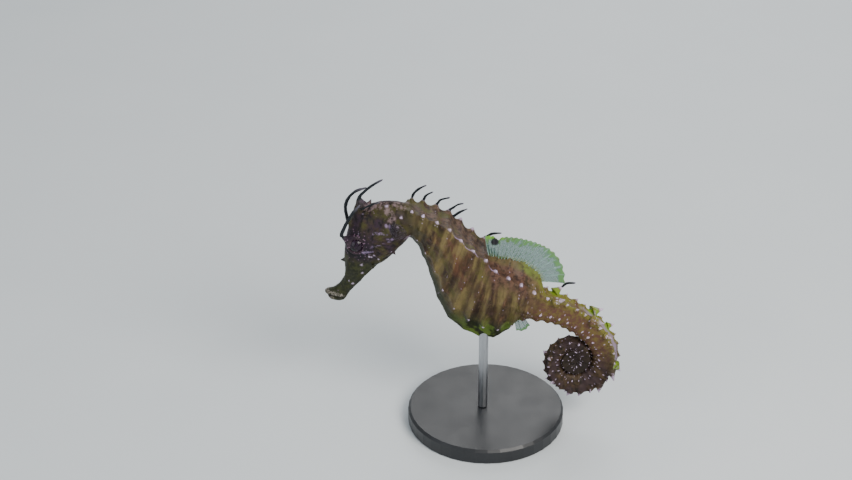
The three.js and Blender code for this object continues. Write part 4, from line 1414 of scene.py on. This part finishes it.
def makeEyeMaterial():
    material, tree, shader = newMaterial("eyeGloss", eyeFacts["brown"])
    polar = attributeOf(tree, "polar", "Vector")
    cells = cellsAt(tree, spotOf(tree), eyeFacts["flecks"])
    read = {"spokes": grainAt(tree, stretch(tree, polar, eyeFacts["spokes"]), 1.0, 3.0, 0.6),
            "away": partsOf(tree, polar)[2], "fromFleck": cells["Distance"], "kept": chanceOf(tree, cells)}
    pupil = eyeFacts["pupil"]
    colour = layered(tree, read, eyeFacts, eyeFacts["brown"], [
        ("mauve", 1, ("spokes", 0.42, 0.6)),
        ("fleck", 1, ("fromFleck", 0.3, 0.18), ("kept", 0.62, 0.57), ("away", 0.4, 0.5)),
        ("ring", 0.15, ("away", pupil - 0.02, pupil + 0.03), ("away", pupil + 0.16, pupil + 0.06)),
        ("black", 1, ("away", pupil + 0.02, pupil - 0.03)),
    ])
    feed(tree, shader, {"Base Color": colour, **eyeFacts["finish"]})
    return material


def makeEye(name, sign, material):
    middle = turnHead([mirrored(head["eye"], sign)])[0]
    ahead, rise, turn = np.radians([eyeFacts["lookAhead"], eyeFacts["lookUp"], head["turn"]])
    x, y, z = -np.sin(ahead) * np.cos(rise), np.cos(ahead) * np.cos(rise) * sign, np.sin(rise)
    look = np.array([x * np.cos(turn) + y * np.sin(turn), -x * np.sin(turn) + y * np.cos(turn), z])
    beside = unit(np.cross(look, [0, 0, 1]))
    above = np.cross(beside, look)
    polar = np.concatenate([np.linspace(*rings) for rings in eyeFacts["rings"]])
    around = roundAngles(eyeFacts["columns"])
    radius = eyeFacts["radius"] * (1 + eyeFacts["bulge"] * smoothstep(1.0, 0.2, polar))
    ways = np.cos(around)[:, None] * beside + np.sin(around)[:, None] * above
    eye = closedTube(name, np.stack([middle + r * (np.cos(a) * look + np.sin(a) * ways)
                                     for a, r in zip(polar, radius)]))
    a, t = np.meshgrid(polar, around, indexing="ij")
    places = np.stack([np.cos(t), np.sin(t), a], -1).reshape(-1, 3)
    setAttributes(eye, polar=np.vstack([places, [[0, 0, 0], [0, 0, 3.1]]]))
    finishPiece(eye, material, [name.replace("Ball", "")])


eyeMaterial = makeEyeMaterial()
for side, sign in (("left", -1), ("right", 1)):
    makeEye(f"eyeBall_{side}", sign, eyeMaterial)

finPaint = {
    "web": tone(84, 116, 110),
    "webGreen": tone(88, 132, 74),
    "cap": tone(104, 158, 46),
    "foot": tone(92, 112, 48),
    "dark": tone(20, 20, 26),
    "ray": tone(140, 164, 160),
    "rayDark": tone(98, 124, 104),
    "alpha": 0.74,
    "analAlpha": 0.62,
    "pectoral": tone(44, 36, 38),
    "pectoralRay": tone(70, 58, 72),
    "pectoralAlpha": 0.26,
    "blotch": (0.0015, 0, 0.0527),  # middle of the dark blotch on the dorsal fin, in metres from the base
    "blotchRadius": 0.00105,
    "rimFrom": (0.68, 0.92),  # share of the fin's height where the green rim starts and is full
    "ragged": 1.1,
    "cloud": 700.0,  # grains and cells to a metre
    "spots": 620.0,
    "blotchGrain": 1500.0,
    "blotchRagged": 0.0005,
    "rayGrain": 900.0,
    "webRoughness": 0.42,
    "rayRoughness": 0.4,
}
finSheet = {
    "columns": 6,  # from ray to ray
    "rows": 18,
    "scallop": 0.055,  # share of the height that is missing between two rays
    "fold": 0.07,
    "wall": 0.09,
    "rayRadius": (0.15, 0.06),  # at the foot and at the edge
    "notch": (0.17, 0.035),  # where along the fin, and how wide
}


def withBlotch(tree, colour):  # the dark blotch with its green cap; also how much of the fin they cover
    spot, middle, radius = spotOf(tree), finPaint["blotch"], finPaint["blotchRadius"]
    off = add(tree, "ShaderNodeVectorMath", {0: spot, 1: middle}, operation="DISTANCE").outputs["Value"]
    ragged = times(tree, grainAt(tree, spot, finPaint["blotchGrain"]), finPaint["blotchRagged"])
    off = sums(tree, "ADD", off, ragged)
    higher = between(tree, partsOf(tree, spot)[2], middle[2] + 0.0002, middle[2] + 0.0011)
    cap = times(tree, between(tree, off, radius * 3.2, radius * 2.3), higher)
    dark = between(tree, off, radius * 1.4, radius)
    colour = blendTones(tree, cap, colour, finPaint["cap"])
    return blendTones(tree, dark, colour, finPaint["dark"]), sums(tree, "MAXIMUM", cap, dark)


def makeFinMaterial(name, blotch, web="web", alphaName="alpha"):
    material, tree, shader = newMaterial(name, finPaint["web"])
    _, up, nearRay = partsOf(tree, attributeOf(tree, "finPlace", "Vector"))
    spot = spotOf(tree)
    isGreen = web == "web"
    light, foot = ("ray", "foot") if isGreen else ("pectoralRay", web)
    cloud = sums(tree, "SUBTRACT", grainAt(tree, spot, finPaint["cloud"]), 0.5)
    ragged = sums(tree, "ADD", up, times(tree, cloud, finPaint["ragged"]))
    rim = times(tree, between(tree, ragged, *finPaint["rimFrom"]), 1.0 if isGreen else 0.0)
    read = {"up": up, "nearRay": nearRay, "rim": rim}
    colour = layered(tree, read, finPaint, finPaint[web], [
        (light, 1, ("nearRay", 0.5, 0.0)),
        ("webGreen", 1, "rim"),
        (foot, 1, ("up", 0.22, 0.02)),
    ])
    dense = sums(tree, "MAXIMUM", rim, between(tree, nearRay, 0.45, 0.05))
    if blotch:
        read["spots"] = cellsAt(tree, spot, finPaint["spots"])["Distance"]
        spotted = [("foot", 0.55, ("spots", 0.35, 0.2), ("up", 0.5, 0.7))]
        colour, covered = withBlotch(tree, layered(tree, read, finPaint, colour, spotted))
        dense = sums(tree, "MAXIMUM", dense, covered)
    solid = finPaint[alphaName]
    feed(tree, shader, {"Base Color": colour, "Roughness": finPaint["webRoughness"],
                        "Alpha": ranged(tree, dense, solid - 0.14, min(0.94, solid + 0.3))})
    return material


def makeRayMaterial(name, light, dark, solid, blotch=False):
    material, tree, shader = newMaterial(name, finPaint[light])
    grain = between(tree, grainAt(tree, spotOf(tree), finPaint["rayGrain"]), 0.4, 0.6)
    colour = blendTones(tree, grain, finPaint[dark], finPaint[light])
    if blotch:
        colour, _ = withBlotch(tree, colour)
    feed(tree, shader, {"Base Color": colour, "Roughness": finPaint["rayRoughness"], "Alpha": solid})
    return material


def finPieces(name, feet, tips, facts, normal, materials, node):
    # feet and tips: functions of the share along the foot; the web and the rays become a piece each
    rays, (sway, waves) = facts["rays"], facts["wave"]
    along = np.linspace(0, 1, (rays - 1) * finSheet["columns"] + 1)
    up = np.linspace(0, 1, finSheet["rows"])
    foot, tip = feet(along), tips(along)
    nearRay = np.abs(np.sin(np.pi * along * (rays - 1)))
    notchAt, notchWide = finSheet["notch"]
    rows = []
    for k, share in enumerate(along):
        notch = facts.get("notch", 0) * bell(share - notchAt, notchWide)
        reach = up * (1 - finSheet["scallop"] * nearRay[k] ** 2 - notch)
        aside = sway * np.sin(2 * np.pi * (waves * share + 0.18 * up)) * up ** 1.4
        aside = aside + finSheet["fold"] * nearRay[k] * up
        curve = facts.get("bend", 0) * (reach - reach ** 2) * np.linalg.norm(tip[k] - foot[k])
        rows.append(foot[k] + np.outer(reach, tip[k] - foot[k]) + np.outer(curve, unit(foot[-1] - foot[0]))
                    + np.outer(aside, normal))
    rows = np.array(rows)
    web = openSheet(name + "Web", rows)
    a, u = np.meshgrid(along, up, indexing="ij")
    places = np.stack([a, u, np.broadcast_to(nearRay[:, None], a.shape)], -1).reshape(-1, 3)
    setAttributes(web, finPlace=places)
    wall = web.modifiers.new("wall", "SOLIDIFY")
    wall.thickness = finSheet["wall"]
    wall.offset = 0
    applyModifiers(web)
    finishPiece(web, materials[0], [node])
    thickness = [np.linspace(*finSheet["rayRadius"], len(up))] * rays
    strips = pathPiece(name + "Rays", list(rows[::finSheet["columns"]]), thickness)
    growWith(tubesTree, strips, sides=6)
    finishPiece(strips, materials[1])


dorsal = {
    "on": "back",
    "from": 6.35,  # ring
    "to": 10.35,
    "rays": 20,
    "reach": [5, 5.7, 6.3, 6.3, 6.5, 5.7],  # of the edge, from front to rear
    "heading": [102, 84, 68, 50, 33, -10],  # degrees
    "gap": 0.32,  # from the body to where the edge is measured from
    "sunk": 0.25,  # how deep the foot is in the body
    "bend": -0.12,
    "wave": (0.4, 1.4),  # how far to the side, and how many
    "notch": 0.16,
}
anal = {
    "on": "keel",
    "from": 9.5,
    "to": 10.05,
    "rays": 4,
    "reach": [2.2, 3.5, 3],
    "heading": [-78, -63, -46],
    "gap": 0.32,
    "sunk": 0.25,
    "wave": (0.05, 0.5),
}
pectoral = {
    "foot": (-19.9, 4.75, 22.4),
    "footShare": 0.56,  # of the height
    "sunk": 0.35,
    "height": 4.8,
    "reach": 3.4,
    "opening": 78,  # degrees up and down from straight back
    "flare": 14,
    "rays": 16,
    "wave": (0.12, 1.5),
}


def medianFin(name, facts, node, materials):
    def feet(along, out=-facts["sunk"]):
        ring = facts["from"] + (facts["to"] - facts["from"]) * along
        return bodySurface(ring, outlinePlace[facts["on"]], 1, out, withRelief=False)

    def tips(along):
        steps = along * (len(facts["reach"]) - 1)
        reach, heading = smoothLine(facts["reach"], steps), np.radians(smoothLine(facts["heading"], steps))
        return feet(along, facts["gap"]) + np.hstack([reach * np.cos(heading), np.zeros_like(reach),
                                                      reach * np.sin(heading)])

    finPieces(name, feet, tips, facts, np.array([0, 1, 0]), materials, node)


def pectoralFin(name, sign, node, materials):
    root = mirrored(pectoral["foot"], sign)
    flare, opening = np.radians([pectoral["flare"], pectoral["opening"]])
    outward = np.array([np.cos(flare), np.sin(flare) * sign, 0])

    def feet(along):
        rise = (0.5 - along) * pectoral["height"] * pectoral["footShare"]
        return turnHead(root + np.outer(rise, [0, 0, 1]) - pectoral["sunk"] * outward)

    def tips(along):
        angle = opening * (1 - 2 * along)
        rim = np.outer(np.cos(angle) * pectoral["reach"], outward)
        rim = rim + np.outer(np.sin(angle) * pectoral["height"] / 2, [0, 0, 1])
        return turnHead(root + rim)

    finPieces(name, feet, tips, pectoral, np.array([-outward[1], outward[0], 0]), materials, node)


rayMaterial = makeRayMaterial("finRay", "ray", "rayDark", 1.0, True)
analRay = makeRayMaterial("analRay", "ray", "web", 0.5)
pectoralRay = makeRayMaterial("pectoralRay", "pectoralRay", "pectoral", 0.3)
dorsalWeb = makeFinMaterial("dorsalFinWeb", True)
medianFin("dorsalFin", dorsal, "dorsal_fin", (dorsalWeb, rayMaterial))
analWeb = makeFinMaterial("analFinWeb", False, "web", "analAlpha")
medianFin("analFin", anal, "anal_fin", (analWeb, analRay))
pectoralWeb = makeFinMaterial("pectoralWeb", False, "pectoral", "pectoralAlpha")
for side, sign in (("left", -1), ("right", 1)):
    pectoralFin(f"pectoralFin{side.title()}", sign, f"pectoral_fin_{side}", (pectoralWeb, pectoralRay))

standPaint = {  # as shown in the viewport, dark, light
    "rod": (tone(168, 170, 174), tone(140, 142, 146), tone(196, 198, 202)),
    "rodRoughness": (0.22, 0.42),
    "brushing": (1, 1, 0.04),  # drawn out along the rod
    "base": (tone(26, 27, 30), tone(20, 21, 24), tone(34, 35, 38)),
    "baseRoughness": (0.3, 0.5),
    "baseBump": (0.12, 0.00005),  # strength, depth
    "lines": 9000.0,  # grains to a metre
    "cloud": 180.0,
    "grain": 6000.0,
}


def paintStand():
    shown, dark, light = standPaint["rod"]
    rod, tree, shader = newMaterial("brushedSteel", shown)
    lines = grainAt(tree, stretch(tree, spotOf(tree), standPaint["brushing"]), standPaint["lines"], 2.0)
    feed(tree, shader, {"Base Color": blendTones(tree, lines, dark, light), "Metallic": 1.0,
                        "Roughness": ranged(tree, lines, *standPaint["rodRoughness"])})
    shown, dark, light = standPaint["base"]
    base, tree, shader = newMaterial("satinBlack", shown)
    spot = spotOf(tree)
    cloud = grainAt(tree, spot, standPaint["cloud"], 4.0)
    tiny = grainAt(tree, spot, standPaint["grain"], 2.0)
    strength, depth = standPaint["baseBump"]
    bump = add(tree, "ShaderNodeBump", {"Strength": strength, "Distance": depth, "Height": tiny})
    feed(tree, shader, {
        "Base Color": blendTones(tree, cloud, dark, light),
        "Roughness": ranged(tree, cloud, *standPaint["baseRoughness"]),
        "Normal": bump.outputs[0],
    })
    for name, finish in (("stand_rod", rod), ("stand_base", base)):
        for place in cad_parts[name].material_slots:
            place.material = finish


paintStand()
print("stand painted")

studio = {
    "floor": tone(214, 218, 220),
    "floorDark": tone(208, 213, 216),
    "floorHalf": 1.5,
    "floorCloud": 30.0,
    "floorRoughness": 0.8,
    "key": (3.8, (0.28, -0.34, 0.42), 0.3, (1.0, 0.97, 0.92)),  # watts, place, size, colour
    "fill": (1.2, (-0.45, -0.35, 0.22), 0.4, (0.9, 0.95, 1.0)),
    "rim": (1.0, (0.1, 0.4, 0.35), 0.3, (1.0, 1.0, 1.0)),
    "sky": 0.55,
    "skyColour": (0.86, 0.92, 0.96, 1),
    "lens": 85,
    "sensor": 36,
    "target": (-0.0154, 0.0075, 0.049),
    "distance": 0.503,
    "elevation": 30,
}


def placeOnStage(name, content, place):
    holder = bpy.data.objects.new(name, content)
    bpy.context.collection.objects.link(holder)
    holder.location = place
    return holder


def setStage():
    half = studio["floorHalf"]
    floor = openSheet("floor", np.array([[(x, y, 0) for x in (-half, half)] for y in (-half, half)], float))
    material, tree, shader = newMaterial("paleFloor", studio["floor"])
    colour = blendTones(tree, grainAt(tree, spotOf(tree), studio["floorCloud"]), studio["floor"],
                        studio["floorDark"])
    feed(tree, shader, {"Base Color": colour, "Roughness": studio["floorRoughness"]})
    floor.data.materials.append(material)
    target = Vector(studio["target"])
    for name in ("key", "fill", "rim"):
        watts, place, size, colour = studio[name]
        lamp = bpy.data.lights.new(name, "AREA")
        lamp.energy, lamp.size, lamp.color = watts, size, colour
        holder = placeOnStage(name, lamp, place)
        holder.rotation_euler = (target - holder.location).to_track_quat("-Z", "Y").to_euler()
    world = bpy.data.worlds.new("studio")
    world.use_nodes = True
    sky = world.node_tree.nodes["Background"]
    feed(world.node_tree, sky, {0: studio["skyColour"], 1: studio["sky"]})
    bpy.context.scene.world = world
    camera = bpy.data.cameras.new("camera")
    camera.lens, camera.sensor_width = studio["lens"], studio["sensor"]
    camera.clip_start = 0.01
    rise = math.radians(studio["elevation"])
    way = Vector((0, -math.cos(rise), math.sin(rise)))
    holder = placeOnStage("camera", camera, target + studio["distance"] * way)
    holder.rotation_euler = (math.radians(90) - rise, 0, 0)
    bpy.context.scene.camera = holder


setStage()
